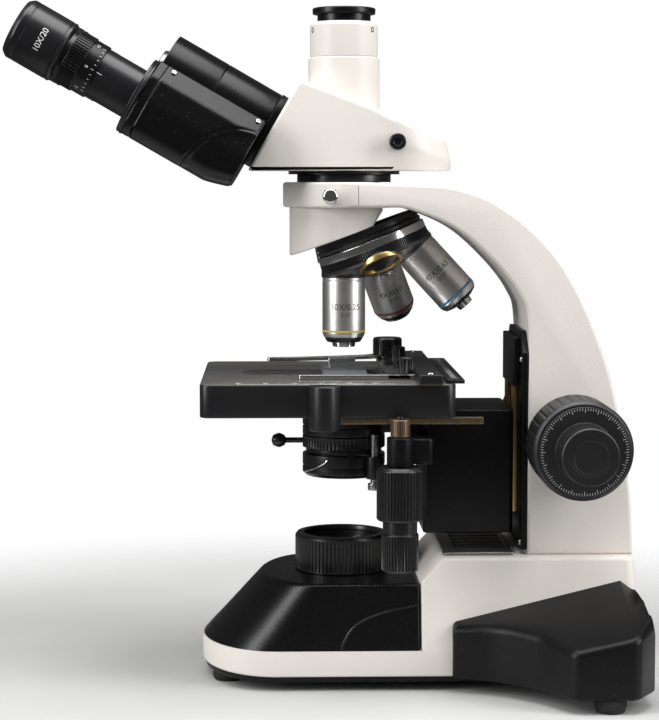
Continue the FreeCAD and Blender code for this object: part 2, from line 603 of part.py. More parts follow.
def wing(side, name):
    """One swinging half of the binocular head.  The right half holds the rear of the hub and
    the left half the front, and each makes room for the other's hub.  The lower side is drawn
    in between hub and tube by waist_turn, so that the halves can swing towards each other."""
    across = f"{side} * tube_y"
    centre = FreeCAD.Vector(value("hub_up"), 0, 0)
    tube_axis = FreeCAD.Vector(value("tube_up"), side * value("tube_y"), 0)
    arm_way = (tube_axis - centre).normalize()
    edge = FreeCAD.Vector(arm_way.y, -arm_way.x, 0)
    reach = value("wing_wide")
    waist = math.radians(value("waist_turn"))
    waist_out = edge * -side * math.sin(waist) * reach
    waist_along = arm_way * math.cos(waist) * reach
    corners = [centre + edge * side * reach, tube_axis + edge * side * reach,
               tube_axis + arm_way * reach, tube_axis - waist_along + waist_out,
               centre + waist_along + waist_out, centre - arm_way * reach]
    start, outer, tip, inner, back, round_end = [(str(at.x), str(at.y)) for at in corners]
    hull = [start, outer, (*inner, *tip), back, (*start, *round_end)]
    low, high = ("wing_near", "wing_seam - 0.2") if side < 0 else (
        "wing_seam + 0.2", "wing_far")
    made = inclined(name + "_blank")
    add(made, "XY_Plane", hull, low, high)
    drum = inclined(name + "_drum")
    add(drum, "XY_Plane", [], "wing_back", "wing_far",
        circles=(("tube_up", across, "wing_wide"),))
    other = ("wing_seam - 0.25", "wing_far + 2") if side < 0 else (
        "wing_near - 2", "wing_seam + 0.25")
    hub_room = inclined_rod(name + "_room", "hub_wide + 0.4", *other, "hub_up", "0")
    shaft = inclined_rod(name + "_shaft", "hub_shaft + 0.06", "190", "270", "hub_up", "0")
    bore = inclined_rod(name + "_bore", "12.5", "204", "270", "tube_up", across)
    drum = without(name + "_drum_cut", drum, [hub_room])
    blank = joined(name + "_solid", "Part::MultiFuse", [made, drum])
    floor = block(name + "_floor", ("-140", "-100", "250"), ("20", "100", "284.4"))
    keep(without(name, blank, [shaft, bore, floor]))


wing(-1, "right_wing")
wing(1, "left_wing")

for side, name in ((-1, "right"), (1, "left")):
    across = f"{side} * tube_y"
    keep(inclined_turned(name + "_tube", [
        ("tube_bore", "wing_far"), ("flange_wide", "wing_far"),
        ("flange_wide", "flange_far"), ("tube_wide", "flange_far"),
        ("tube_wide", "tube_far"), ("tube_bore", "tube_far")], "tube_up", across))
    keep(inclined_turned(name + "_diopter", [
        ("tube_wide + 0.06", "ring_near"), ("diopter_wide", "ring_near"),
        ("diopter_wide", "grip_near"), ("grip_wide", "grip_near"),
        ("grip_wide", "grip_far"), ("tube_wide + 0.06", "grip_far")], "tube_up", across))
    keep(inclined_turned(name + "_eyepiece", [
        ("8", "286"), ("eye_barrel", "286"), ("eye_barrel", "tube_far + 0.2"),
        ("14.4", "tube_far + 0.2"), ("14.4", "eye_near"), ("eye_wide", "eye_near"),
        ("eye_wide", "eye_far - 2"), ("eye_wide - 1.6", "eye_far"), ("12.5", "eye_far"),
        ("11.5", "eye_far - 3"), ("8", "eye_far - 3")], "tube_up", across))

# ---- stage ----
carrier_blank = block("carrier_blank", ("block_left", "-block_half", "block_low"),
                      ("block_right", "block_half", "stage_skirt"))
tongue = block("carrier_tongue", ("block_right - 1", "-9", "120"), ("114", "9", "152"))
rack = block("focus_rack", ("112", "-6", "118"),
             ("shaft_x - pinion_wide - 0.3", "6", "166"))
knob_arm = block("knob_arm", ("30", "knob_y - 2", "131"), ("block_left + 2", "-30", "145"))
knob_sleeve = rod("knob_sleeve", "7.35", "130", "145.8", ("knob_x", "knob_y", "0"), (0, 0, 1))
carrier_solid = joined("carrier_solid", "Part::MultiFuse",
                       [carrier_blank, tongue, rack, knob_arm, knob_sleeve])
spindle_way = rod("spindle_way", "3.06", "120", "150", ("knob_x", "knob_y", "0"), (0, 0, 1))
guide_way = block("guide_way", ("block_left - 1", "-12.3", "110"),
                  ("block_left + 14", "12.3", "stage_skirt - 3"))
stage_carrier = keep(without("stage_carrier", carrier_solid, [spindle_way, guide_way]))

lower_plate = place(body("stage_lower_plate"))
add(lower_plate, "XY_Plane", rounded_path("stage_left + 31", "23 - stage_half",
                                          "stage_right - 10", "stage_half - 23", "8"),
    "stage_skirt", "deck_low - 0.3", circles=(("0", "0", "27"),))
keep(lower_plate)

top_plate = place(body("top_plate"))
add(top_plate, "XY_Plane", rounded_path("stage_left", "-stage_half", "stage_right",
                                        "stage_half", "6"), "stage_skirt", "stage_top")
cut(top_plate, "XY_Plane", rounded_path("stage_left + 3", "3 - stage_half",
                                        "stage_right + 8", "stage_half - 3", "4"),
    "stage_skirt", "deck_low")
cut(top_plate, "XY_Plane", rounded_path("aperture_left", "-aperture_half", "aperture_right",
                                        "aperture_half", "10"), "deck_low", "stage_top")
boss = place(body("boss"))
add(boss, "XY_Plane", [], "stage_skirt - 6", "stage_top",
    circles=(("-13", "-stage_half - 6.5", "8.5"),))
boss_root = block("boss_root", ("-21.5", "-stage_half - 6.5", "stage_skirt"),
                  ("-4.5", "1 - stage_half", "stage_top"))
scale_bar = block("scale_bar", ("54", "-stage_half + 4", "stage_top"),
                  ("64", "stage_half - 4", "stage_top + 2.2"))
stage_top_plate = keep(joined("stage_top_plate", "Part::MultiFuse",
                              [top_plate, boss, boss_root, scale_bar]))
stage_rack = keep(block("stage_rack", ("-4", "knob_y + stage_pinion + 0.3", "152"),
                        ("74", "-68", "stage_skirt")))

knob_at = ("knob_x", "knob_y", "0")
x_travel_knob = keep(turned("x_travel_knob", [
    ("2", "100.4"), ("12.8", "100.4"), ("12.8", "128.6"), ("11.4", "129.8"),
    ("3", "129.8"), ("3", "146"), ("stage_pinion", "146"), ("stage_pinion", "stage_skirt"),
    ("2", "stage_skirt")], knob_at))
y_travel_knob = keep(turned("y_travel_knob", [
    ("0", "72.3"), ("10.25", "72.3"), ("10.25", "93"), ("9.5", "93"), ("9.5", "100.2"),
    ("1.95", "100.2"), ("1.95", "157"), ("0", "157")], knob_at))

slide_carriage = keep(block("slide_carriage", ("38", "-85", "stage_top + 0.3"),
                            ("51", "80", "stage_top + 6")))
holder_plate = block("holder_plate", ("22", "-47", "stage_top + 0.3"),
                     ("38", "70", "stage_top + 2.8"))
holder_bar = block("holder_bar", ("-27", "-47", "stage_top + 0.3"),
                   ("38", "-42", "stage_top + 2.8"))
thumbs = [turned("thumb", [
    ("0", "stage_top + 2"), ("4", "stage_top + 2"), ("4", "stage_top + 11.5"),
    ("3", "stage_top + 12.5"), ("0", "stage_top + 12.5")], (x, y, "0"))
    for x, y in (("33.5", "-43"), ("33.5", "30"))]
slide_holder = keep(joined("slide_holder", "Part::MultiFuse",
                           [holder_plate, holder_bar] + thumbs))
specimen_slide = keep(block("specimen_slide", ("-12.7", "-41.7", "stage_top + 0.3"),
                            ("12.7", "34.5", "stage_top + 1.4")))
finger = place(body("finger"))
add(finger, "XY_Plane", [
    ("30", "64"), ("-2", "45", "14", "60"), ("-44", "38", "-24", "37"), ("-45", "42"),
    ("-4", "51", "-24", "42"), ("22", "68", "8", "63"), ("30", "64")],
    "stage_top + 3", "stage_top + 5.4")
finger_knob = turned("finger_knob", [
    ("0", "stage_top + 3"), ("8.85", "stage_top + 3"), ("8.85", "stage_top + 14.8"),
    ("8", "stage_top + 15.6"), ("0", "stage_top + 15.6")], ("28.6", "62", "0"))
finger_lip = block("finger_lip", ("-8", "34.9", "stage_top + 0.4"),
                   ("8", "38", "stage_top + 5.4"))
finger_web = block("finger_web", ("-8", "37", "stage_top + 3"), ("8", "46", "stage_top + 5.4"))
spring_finger = keep(joined("spring_finger", "Part::MultiFuse",
                            [finger, finger_knob, finger_lip, finger_web]))

# ---- substage condenser ----
barrel = turned("barrel", [
    ("14", "filter_top + 0.4"), ("condenser_wide", "filter_top + 0.4"),
    ("condenser_wide", "iris_low - 0.3"), ("19.5", "iris_low - 0.3"),
    ("19.5", "iris_top + 0.3"), ("condenser_wide + 2", "iris_top + 0.3"),
    ("condenser_wide + 2", "condenser_top"), ("13", "condenser_top + 2"),
    ("11", "164.5"), ("8.5", "164.5"), ("10", "condenser_top"), ("14", "142")])
lens = turned("lens", [("0", "160"), ("9.2", "160"), ("9.2", "164"), ("0", "165")])
carrier = block("condenser_arm", ("18", "-12", "140"), ("block_left + 13.7", "12", "150"))
lug = block("filter_lug", ("11", "-25", "filter_top + 0.4"), ("21", "-12", "iris_low - 0.3"))
pivot_screw = turned("pivot_screw", [
    ("0", "108"), ("4", "108"), ("4", "112"), ("2", "112"), ("2", "filter_top + 2"),
    ("0", "filter_top + 2")], ("filter_pivot_x", "filter_pivot_y", "0"))
condenser = keep(joined("condenser", "Part::MultiFuse",
                               [barrel, lens, carrier, lug, pivot_screw]))
iris_ring_part = turned("iris_ring_part", tube_rings("19.8", "24", "iris_low", "iris_top"))
lever = rod("iris_lever_bar", "1.6", "21", "36", ("0", "0", "134.5"), (-1, 0, 0))
ball = doc.addObject("Part::Sphere", "iris_ball")
ball.Radius = 4.5
place(ball, ("-37.5", "0", "134.5"))
iris_ring = keep(joined("iris_ring", "Part::MultiFuse", [iris_ring_part, lever, ball]))
filter_ring = turned("filter_ring", [
    ("18", "filter_low"), ("24", "filter_low + 2"), ("24", "filter_top"), ("20", "filter_top"),
    ("20", "filter_top - 4"), ("18", "filter_top - 4")])
filter_ear = rod("filter_ear", "5", "filter_low + 2", "filter_top",
                 ("filter_pivot_x", "filter_pivot_y", "0"), (0, 0, 1))
filter_glass = turned("filter_glass", [
    ("0", "filter_top - 4"), ("19.8", "filter_top - 4"), ("19.8", "filter_top - 2"),
    ("0", "filter_top - 2")])
filter_way = rod("filter_way", "2.06", "100", "140",
                 ("filter_pivot_x", "filter_pivot_y", "0"), (0, 0, 1))
filter_blank = joined("filter_blank", "Part::MultiFuse", [filter_ring, filter_ear,
                                                         filter_glass])
filter_holder = keep(without("filter_holder", filter_blank, [filter_way]))
condenser_knob = keep(turned("condenser_knob", [
    ("0", "block_half + 0.3"), ("9", "block_half + 0.3"), ("9", "block_half + 14"),
    ("8", "block_half + 15"), ("0", "block_half + 15")], ("62", "0", "120"), (0, 1, 0)))

# ---- focus drive ----
shaft_at = ("shaft_x", "0", "shaft_z")
across_axis = (0, 1, 0)
coarse_shaft = turned("coarse_shaft", [
    ("fine_shaft + 0.06", "-coarse_out"), ("coarse_shaft", "-coarse_out"),
    ("coarse_shaft", "-8"), ("pinion_wide", "-8"), ("pinion_wide", "8"),
    ("coarse_shaft", "8"), ("coarse_shaft", "coarse_out"),
    ("fine_shaft + 0.06", "coarse_out")], shaft_at, across_axis)
knobs = [turned("coarse_knob", [
    ("coarse_shaft - 1", "coarse_in"), ("coarse_wide - 1", "coarse_in"),
    ("coarse_wide", "coarse_in + 1"), ("coarse_wide", "coarse_out - 2"),
    ("coarse_wide - 1.5", "coarse_out"), ("coarse_shaft - 1", "coarse_out")],
    shaft_at, (0, side, 0)) for side in (-1, 1)]
coarse_knobs = keep(joined("coarse_knobs", "Part::MultiFuse", [coarse_shaft] + knobs))
fine_shaft = rod("fine_shaft_bar", "fine_shaft", "-fine_out + 5", "fine_out - 5", shaft_at,
                 across_axis)
knobs = [turned("fine_knob", [
    ("0", "coarse_out + 0.3"), ("fine_disc", "coarse_out + 0.3"),
    ("fine_disc", "fine_disc_out"), ("fine_wide", "fine_disc_out"),
    ("fine_wide", "fine_out - 1"), ("fine_wide - 1", "fine_out"), ("0", "fine_out")],
    shaft_at, (0, side, 0)) for side in (-1, 1)]
fine_knobs = keep(joined("fine_knobs", "Part::MultiFuse", [fine_shaft] + knobs))
tension_collar = keep(turned("tension_collar", [
    ("coarse_shaft + 0.1", "arm_half + 0.2"), ("20", "arm_half + 0.2"),
    ("21", "arm_half + 2"), ("21", "coarse_in - 0.4"), ("coarse_shaft + 0.1", "coarse_in - 0.4")],
    shaft_at, (0, -1, 0)))
stop_collar = keep(turned("stop_collar", [
    ("coarse_shaft + 0.1", "arm_half"), ("20", "arm_half"), ("20", "coarse_in - 0.4"),
    ("coarse_shaft + 0.1", "coarse_in - 0.4")], shaft_at, (0, 1, 0)))

# ---- check every object, then write one file for each sub-part ----
doc.recompute()
for piece in doc.Objects:
    if "Invalid" in piece.State or "Error" in piece.State:
        raise RuntimeError(f"{piece.Label} failed: {piece.State}")
for piece in nodes:
    if piece.Shape.isNull() or not piece.Shape.isValid():
        raise RuntimeError(f"{piece.Label} has no valid shape")
os.makedirs("parts", exist_ok=True)
for piece in nodes:
    piece.Shape.exportStep(f"parts/{piece.Label}.step")
    print(f"{piece.Label:20s} {len(piece.Shape.Solids)} solids {piece.Shape.Volume:12.0f}")
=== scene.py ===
import bmesh
import bpy
import json
import math
import numpy as np
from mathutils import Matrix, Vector


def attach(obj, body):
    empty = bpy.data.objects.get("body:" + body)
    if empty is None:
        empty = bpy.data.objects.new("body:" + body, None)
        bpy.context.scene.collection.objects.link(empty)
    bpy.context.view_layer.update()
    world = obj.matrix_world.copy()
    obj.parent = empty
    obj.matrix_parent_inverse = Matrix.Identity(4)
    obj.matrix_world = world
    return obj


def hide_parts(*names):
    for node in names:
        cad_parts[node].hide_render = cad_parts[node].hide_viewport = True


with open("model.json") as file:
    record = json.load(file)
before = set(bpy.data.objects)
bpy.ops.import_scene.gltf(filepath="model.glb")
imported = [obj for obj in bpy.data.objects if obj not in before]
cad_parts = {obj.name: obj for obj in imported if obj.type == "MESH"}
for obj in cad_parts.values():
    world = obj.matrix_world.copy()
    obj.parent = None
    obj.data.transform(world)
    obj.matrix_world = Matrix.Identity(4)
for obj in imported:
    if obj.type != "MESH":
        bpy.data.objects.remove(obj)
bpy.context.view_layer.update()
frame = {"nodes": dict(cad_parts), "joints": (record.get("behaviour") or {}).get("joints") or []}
joints = {joint["name"]: joint for joint in frame["joints"]}
MM = 0.001

# ---- The view, the table and the light ----
# The microscope stands on a pale table in soft studio light, seen from the user's right and a
# little above the stage, from about four times its own height away.

AXIS_X = 1000 * joints["head_swivel"]["pos_m"][0]
VIEW_FROM = (-29.2, -1214, 286)
VIEW_TURN = (85.06, 0, -1.53)
VIEW_LENS = 105.3

camera_data = bpy.data.cameras.new("camera")
camera_data.lens = VIEW_LENS
camera_data.sensor_width = 36
camera_data.clip_end = 50
camera = bpy.data.objects.new("camera", camera_data)
camera.location = Vector(VIEW_FROM) * MM
camera.rotation_euler = [math.radians(angle) for angle in VIEW_TURN]
bpy.context.scene.collection.objects.link(camera)
bpy.context.scene.camera = camera


class Wire:
    """A shader output that can be used in Python arithmetic; each step adds a Math node."""

    def __init__(self, finish, socket):
        self.finish = finish
        self.socket = socket

    def math(self, operation, *values):
        return self.finish.node("ShaderNodeMath", {"operation": operation},
                                dict(enumerate(values)))

    def __add__(self, other):
        return self.math("ADD", self, other)

    def __sub__(self, other):
        return self.math("SUBTRACT", self, other)

    def __mul__(self, other):
        return self.math("MULTIPLY", self, other)

    __radd__ = __add__
    __rmul__ = __mul__

    def above(self, level, soft):
        """1 where the value is over a level, 0 where it is under, with a soft edge."""
        return self.finish.node("ShaderNodeMapRange", {"clamp": True}, {
            "Value": self, "From Min": level - soft, "From Max": level + soft})


class Finish:
    """A material built from nodes, in metres of the object's own space."""

    def __init__(self, name):
        self.material = bpy.data.materials.new(name)
        self.material.use_nodes = True
        self.tree = self.material.node_tree
        self.tree.nodes.clear()
        self.place = self.node("ShaderNodeTexCoord", {}, {}, "Object")

    def node(self, kind, settings, values, out=0):
        """Adds a node: its settings first, then numbers or links on its sockets."""
        made = self.tree.nodes.new(kind)
        for key, setting in settings.items():
            setattr(made, key, setting)
        for key, value in values.items():
            if isinstance(value, Wire):
                self.tree.links.new(value.socket, made.inputs[key])
            else:
                made.inputs[key].default_value = value
        return Wire(self, made.outputs[out])

    def noise(self, size, detail=2.0, rough=0.5, stretch=(1, 1, 1), axis=(0, 0, 1)):
        """Soft noise whose lumps are about size metres across, stretched about an axis."""
        turn = Vector(axis).to_track_quat("Z", "Y").to_euler()
        spread = self.node("ShaderNodeMapping", {"vector_type": "TEXTURE"}, {
            "Vector": self.place, "Rotation": turn, "Scale": stretch})
        return self.node("ShaderNodeTexNoise", {}, {
            "Vector": spread, "Scale": 1 / size, "Detail": detail, "Roughness": rough})

    def blend(self, amount, first, second):
        """A colour between two, by an amount."""
        return self.node("ShaderNodeMix", {"data_type": "RGBA"}, {
            0: amount, 6: first if isinstance(first, Wire) else (*first, 1),
            7: second if isinstance(second, Wire) else (*second, 1)}, 2)

    def bump(self, height, depth):
        """A bump of that many metres."""
        return self.node("ShaderNodeBump", {}, {
            "Height": height, "Distance": depth, "Strength": 1.0})

    def surface(self, colour, rough, normal=None, **sockets):
        """The shader itself; sockets are set by name, with _ for a space."""
        values = {"Base Color": colour if isinstance(colour, Wire) else (*colour, 1),
                  "Roughness": rough}
        if normal:
            values["Normal"] = normal
        values.update({key.replace("_", " "): value for key, value in sockets.items()})
        shader = self.node("ShaderNodeBsdfPrincipled", {}, values)
        end = self.tree.nodes.new("ShaderNodeOutputMaterial")
        self.tree.links.new(shader.socket, end.inputs["Surface"])
        return self.material


def table_finish():
    """Pale matt paper with a faint mottle, fading into the backdrop away from the stand."""
    finish = Finish("table_paper")
    mottle = finish.noise(0.05, 3)
    far = finish.node("ShaderNodeVectorMath", {"operation": "LENGTH"}, {0: finish.place}, 1)
    fade = finish.node("ShaderNodeMapRange", {"interpolation_type": "SMOOTHSTEP"}, {
        "Value": far, "From Min": TABLE_REACH, "From Max": 0.26})
    return finish.surface(finish.blend(mottle, (0.52, 0.52, 0.515), (0.55, 0.55, 0.545)),
                          0.7 + 0.08 * mottle, Alpha=fade, Specular_IOR_Level=0.2)


TABLE_REACH = 0.5
table_mesh = bpy.data.meshes.new("table")
table_mesh.from_pydata([(x, y, 0) for x, y in ((-TABLE_REACH, -TABLE_REACH),
                                               (TABLE_REACH, -TABLE_REACH),
                                               (TABLE_REACH, TABLE_REACH),
                                               (-TABLE_REACH, TABLE_REACH))], [], [(0, 1, 2, 3)])
table_mesh.materials.append(table_finish())
table = bpy.data.objects.new("table", table_mesh)
bpy.context.scene.collection.objects.link(table)

AMBIENT, BACKDROP = 0.07, 1.0
world = bpy.data.worlds.new("studio")
bpy.context.scene.world = world
world.use_nodes = True
nodes, links = world.node_tree.nodes, world.node_tree.links
seen = nodes.new("ShaderNodeLightPath")
strength = nodes.new("ShaderNodeMapRange")
strength.inputs["To Min"].default_value = AMBIENT
strength.inputs["To Max"].default_value = BACKDROP
links.new(seen.outputs["Is Camera Ray"], strength.inputs["Value"])
links.new(strength.outputs["Result"], nodes["Background"].inputs["Strength"])
nodes["Background"].inputs["Color"].default_value = (1.0, 1.0, 1.0, 1)
bpy.context.scene.view_settings.view_transform = "Standard"


def softbox(name, at, aim, size, power):
    """A rectangular soft light, placed and aimed in millimetres."""
    light = bpy.data.lights.new(name, "AREA")
    light.shape = "RECTANGLE"
    light.size, light.size_y = size[0] * MM, size[1] * MM
    light.energy = power
    box = bpy.data.objects.new(name, light)
    box.location = Vector(at) * MM
    box.rotation_euler = (Vector(aim) - Vector(at)).to_track_quat("-Z", "Y").to_euler()
    bpy.context.scene.collection.objects.link(box)


LIT = (0, 0, 200)
softbox("light_left", (-1300, -700, 800), LIT, (500, 1300), 19)
softbox("light_right", (1300, -600, 800), LIT, (500, 1300), 19)
softbox("light_top", (0, -200, 1500), LIT, (1500, 1000), 27)

# ---- Cast base ----
# One aluminium casting, powder coated in fine warm-white texture: a low band that runs round
# the nose, and the block that carries the arm.  It is fixed to the stand.

BASE_REAR = 163.5
BASE_HALF = 59.5
BAND_LOW, BAND_TOP = 8.5, 23.0
BLOCK_FRONT, BLOCK_RAMP = 41.0, 52.5
BLOCK_RAMP_LOW, BASE_TOP = 60.5, 73.6
BLOCK_HALF_TOP = 50.0
NOSE_FRONT, NOSE_SHOULDER = -82.0, -38.0


def skin(name, points, caps=True, turn_back=False):
    """A mesh over a grid of points, in millimetres from the optical axis: rows run along the
    piece, columns run round it.  Rows that shrink to a point are merged; the end rows are
    closed, or turn_back joins the last row to the first."""
    rows, columns = points.shape[:2]
    index = np.arange(rows * columns).reshape(rows, columns)
    ahead = np.roll(index, -1, axis=1)
    last = rows if turn_back else rows - 1
    below, above = index[:last], np.roll(index, -1, axis=0)[:last]
    below_ahead, above_ahead = ahead[:last], np.roll(ahead, -1, axis=0)[:last]
    faces = np.stack([below, below_ahead, above_ahead, above], axis=-1).reshape(-1, 4).tolist()
    if caps and not turn_back:
        faces += [index[0][::-1].tolist(), index[-1].tolist()]
    mesh = bpy.data.meshes.new(name)
    shifted = points.reshape(-1, 3) + (AXIS_X, 0, 0)
    mesh.from_pydata((shifted * MM).tolist(), [], faces)
    return tidy(name, mesh)


SHARP_OVER = math.radians(32)


def tidy(name, mesh):
    """Merges doubles, points faces outwards, shades smoothly with sharp corners kept."""
    shape = bmesh.new()
    shape.from_mesh(mesh)
    bmesh.ops.remove_doubles(shape, verts=shape.verts, dist=2e-6)
    bmesh.ops.dissolve_degenerate(shape, edges=shape.edges, dist=1e-7)
    bmesh.ops.recalc_face_normals(shape, faces=shape.faces)
    shape.to_mesh(mesh)
    shape.free()
    mesh.shade_smooth()
    mesh.set_sharp_from_angle(angle=SHARP_OVER)
    piece = bpy.data.objects.new(name, mesh)
    bpy.context.scene.collection.objects.link(piece)
    return piece


def fit(piece, body, finish, slot, *stands_for):
    """Gives a piece its finish, its body and the CAD nodes it stands for; slot is not used."""
    piece.data.materials.clear()
    piece.data.materials.append(finish)
    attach(piece, body)
    if stands_for:
        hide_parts(*stands_for)


def rounded(corners, closed=True, steps=6):
    """A line through corners (x, y, radius), each corner turned by an arc that is tangent to
    both of its sides; the radius gives way where a side is too short."""
    points = []
    count = len(corners)
    for here in range(count):
        x, y, radius = corners[here]
        corner = np.array((x, y), float)
        if radius <= 0 or (not closed and here in (0, count - 1)):
            points.append(corner)
            continue
        back = np.array(corners[here - 1][:2], float) - corner
        ahead = np.array(corners[(here + 1) % count][:2], float) - corner
        back_long, ahead_long = np.linalg.norm(back), np.linalg.norm(ahead)
        back, ahead = back / back_long, ahead / ahead_long
        half = math.acos(np.clip(back @ ahead, -1, 1)) / 2
        reach = min(radius / math.tan(half), 0.49 * back_long, 0.49 * ahead_long)
        middle = corner + (back + ahead) / np.linalg.norm(back + ahead) * reach / math.cos(half)
        start = corner + back * reach - middle
        stop = corner + ahead * reach - middle
        sweep = math.atan2(start[0] * stop[1] - start[1] * stop[0], start @ stop)
        for angle in np.linspace(0, sweep, steps + 1):
            cos, sin = math.cos(angle), math.sin(angle)
            points.append(middle + np.array((cos * start[0] - sin * start[1],
                                             sin * start[0] + cos * start[1])))
    return np.array(points)


def hoop(inner, outer, low, high, inner_edge=0.0, outer_edge=0.0):
    """The profile of a plain ring, with its edges rounded inside and outside."""
    return rounded([(inner, low, inner_edge), (outer, low, outer_edge),
                    (outer, high, outer_edge), (inner, high, inner_edge)])


def nose_loop(front, shoulder, rear, half, power=2.0, corner=6.0):
    """A plan outline: straight sides at +-half, rear corners rounded, and a nose that is a
    superellipse |u|^power + |v|^power = 1 between the shoulder and the front."""
    turn = np.linspace(0, math.pi / 2, 9)
    rear_near = np.stack([rear - corner + corner * np.sin(turn),
                          -half + corner - corner * np.cos(turn)], 1)
    rear_far = rear_near[::-1] * (1, -1)
    angle = np.linspace(math.pi / 2, -math.pi / 2, 49)
    nose = np.stack([shoulder - (shoulder - front) * np.abs(np.cos(angle)) ** (2 / power),
                     half * np.sign(np.sin(angle)) * np.abs(np.sin(angle)) ** (2 / power)], 1)
    return np.concatenate([rear_near, rear_far, nose])


def stack(name, levels):
    """A closed shell over plan outlines at heights: levels are (height, outline)."""
    grid = np.stack([np.concatenate([loop, np.full((len(loop), 1), height)], 1)
                     for height, loop in levels])
    return skin(name, grid)


def edge_turn(radius, steps=5):
    """(drop, inset) pairs that turn an edge of that radius, from its side to its top."""
    turn = np.linspace(0, math.pi / 2, steps)
    return [(radius * (1 - math.sin(a)), radius * (1 - math.cos(a))) for a in turn]


def paint(name, colour, rough, grain, depth, specks=0.0, gloss=0.5):
    """Powder coat: grain metres across and depth metres deep, slightly uneven in tone; where
    specks is over 0, a few fine pale specks are painted in as glints of light on the grain."""
    finish = Finish(name)
    tone = finish.noise(0.03, 4)
    fine = finish.noise(grain, 3, 0.6)
    shade = finish.blend(tone, [c * 0.96 for c in colour], [min(1, c * 1.03) for c in colour])
    if specks:
        # Painted glints: pale specks mixed into the colour stand for light caught by the coat's
        # grain.
        painted_glints = finish.noise(0.0007, 1).above(0.80 - specks, 0.03)
        shade = finish.blend(painted_glints * 0.22, shade, (0.45, 0.44, 0.42))
    normal = finish.bump(fine, depth)
    return finish.surface(shade, rough + 0.10 * (fine - 0.5), normal,
                          Specular_IOR_Level=gloss)


white_paint = paint("white_powder_coat", (0.81, 0.765, 0.715), 0.42, 0.0009, 0.00010)
black_paint = paint("black_powder_coat", (0.004, 0.004, 0.0045), 0.34, 0.0007, 0.00012,
                    0.02, 0.2)

levels = []
for drop, inset in edge_turn(1.2)[::-1]:
    levels.append((BAND_LOW + drop, nose_loop(NOSE_FRONT + inset, NOSE_SHOULDER,
                                              BASE_REAR - inset, BASE_HALF - inset)))
levels.append((BAND_TOP, nose_loop(NOSE_FRONT, NOSE_SHOULDER, BASE_REAR, BASE_HALF)))
levels.append((BAND_TOP + 0.02, nose_loop(BLOCK_FRONT, BLOCK_FRONT + 3, BASE_REAR, BASE_HALF,
                                          6)))
levels.append((BLOCK_RAMP_LOW, nose_loop(
    BLOCK_FRONT, BLOCK_FRONT + 3, BASE_REAR - 0.7,
    BASE_HALF + (BLOCK_HALF_TOP - BASE_HALF) * (BLOCK_RAMP_LOW - BAND_TOP)
    / (BASE_TOP - BAND_TOP), 6)))
for drop, inset in edge_turn(2.2):
    levels.append((BASE_TOP - drop, nose_loop(
        BLOCK_RAMP + inset - drop * 0.8, BLOCK_RAMP + 3 + inset, BASE_REAR - 1 - inset,
        BLOCK_HALF_TOP - inset, 6)))
fit(stack("base_body", levels), "stand", white_paint, "white_paint", "base_casting")

# ---- Bottom plate ----
# A pressed steel plate, black, that closes the base from below.

PLATE_LOW, PLATE_SET = 5.0, 1.5
levels = [(PLATE_LOW + height, nose_loop(NOSE_FRONT + PLATE_SET + inset, NOSE_SHOULDER,
                                         BASE_REAR - PLATE_SET - inset,
                                         BASE_HALF - PLATE_SET - inset))
          for height, inset in ((0, 1.0), (0.3, 0.3), (1.0, 0), (3.5, 0))]
fit(stack("bottom_plate", levels), "stand", black_paint, "black_paint", "base_plate")

# ---- Front cover ----
# A black moulded shell over the lamp mirror.  Its nose slopes back and its sides lean in; a
# raised line is moulded on each side.

COVER_TOP = 59.5
COVER_FRONT, COVER_FRONT_TOP = -81.4, -47.6
COVER_HALF, COVER_HALF_TOP = 58.9, 51.5
COVER_SHOULDER_TOP = -14.0


def cover_loop(rise, inset=0.0):
    """The cover's outline at a rise of 0 at its foot to 1 at its top."""
    front = COVER_FRONT + rise * (COVER_FRONT_TOP - COVER_FRONT)
    shoulder = NOSE_SHOULDER + rise * (COVER_SHOULDER_TOP - NOSE_SHOULDER)
    half = COVER_HALF + rise * (COVER_HALF_TOP - COVER_HALF)
    return nose_loop(front + inset, shoulder, BLOCK_FRONT - 0.4 - inset * 0.5, half - inset,
                     corner=1.0)


def cover_paint():
    """Satin moulded black with a fine spark texture."""
    finish = Finish("cover_black")
    fine = finish.noise(0.0006, 3, 0.6)
    tone = finish.noise(0.02, 3)
    normal = finish.bump(fine, 0.00008)
    return finish.surface(finish.blend(tone, (0.003, 0.003, 0.0033), (0.005, 0.005, 0.0055)),
                          0.28 + 0.12 * (fine - 0.5), normal, Specular_IOR_Level=0.35)


cover_black = cover_paint()
levels = [(BAND_TOP + 0.1, cover_loop(0)), (BAND_TOP + 4, cover_loop(0.1))]
levels += [(BAND_TOP + rise * (COVER_TOP - BAND_TOP), cover_loop(rise))
           for rise in (0.3, 0.5, 0.7, 0.9)]
levels += [(COVER_TOP - drop, cover_loop(1 - drop / (COVER_TOP - BAND_TOP - 0.5), inset))
           for drop, inset in edge_turn(1.8)]
fit(stack("front_cover_shell", levels), "stand", cover_black, "black_plastic", "front_cover")


def smooth_line(points, count):
    """A Catmull-Rom curve through points of any dimension, count points long."""
    points = np.array(points, float)
    ends = np.concatenate([[2 * points[0] - points[1]], points, [2 * points[-1] - points[-2]]])
    at = np.linspace(0, len(points) - 1 - 1e-9, count)
    span = at.astype(int)
    part = (at - span)[:, None]
    before, start, stop, after = (ends[span + step] for step in range(4))
    return 0.5 * (2 * start + (stop - before) * part
                  + (2 * before - 5 * start + 4 * stop - after) * part ** 2
                  + (3 * start - before - 3 * stop + after) * part ** 3)


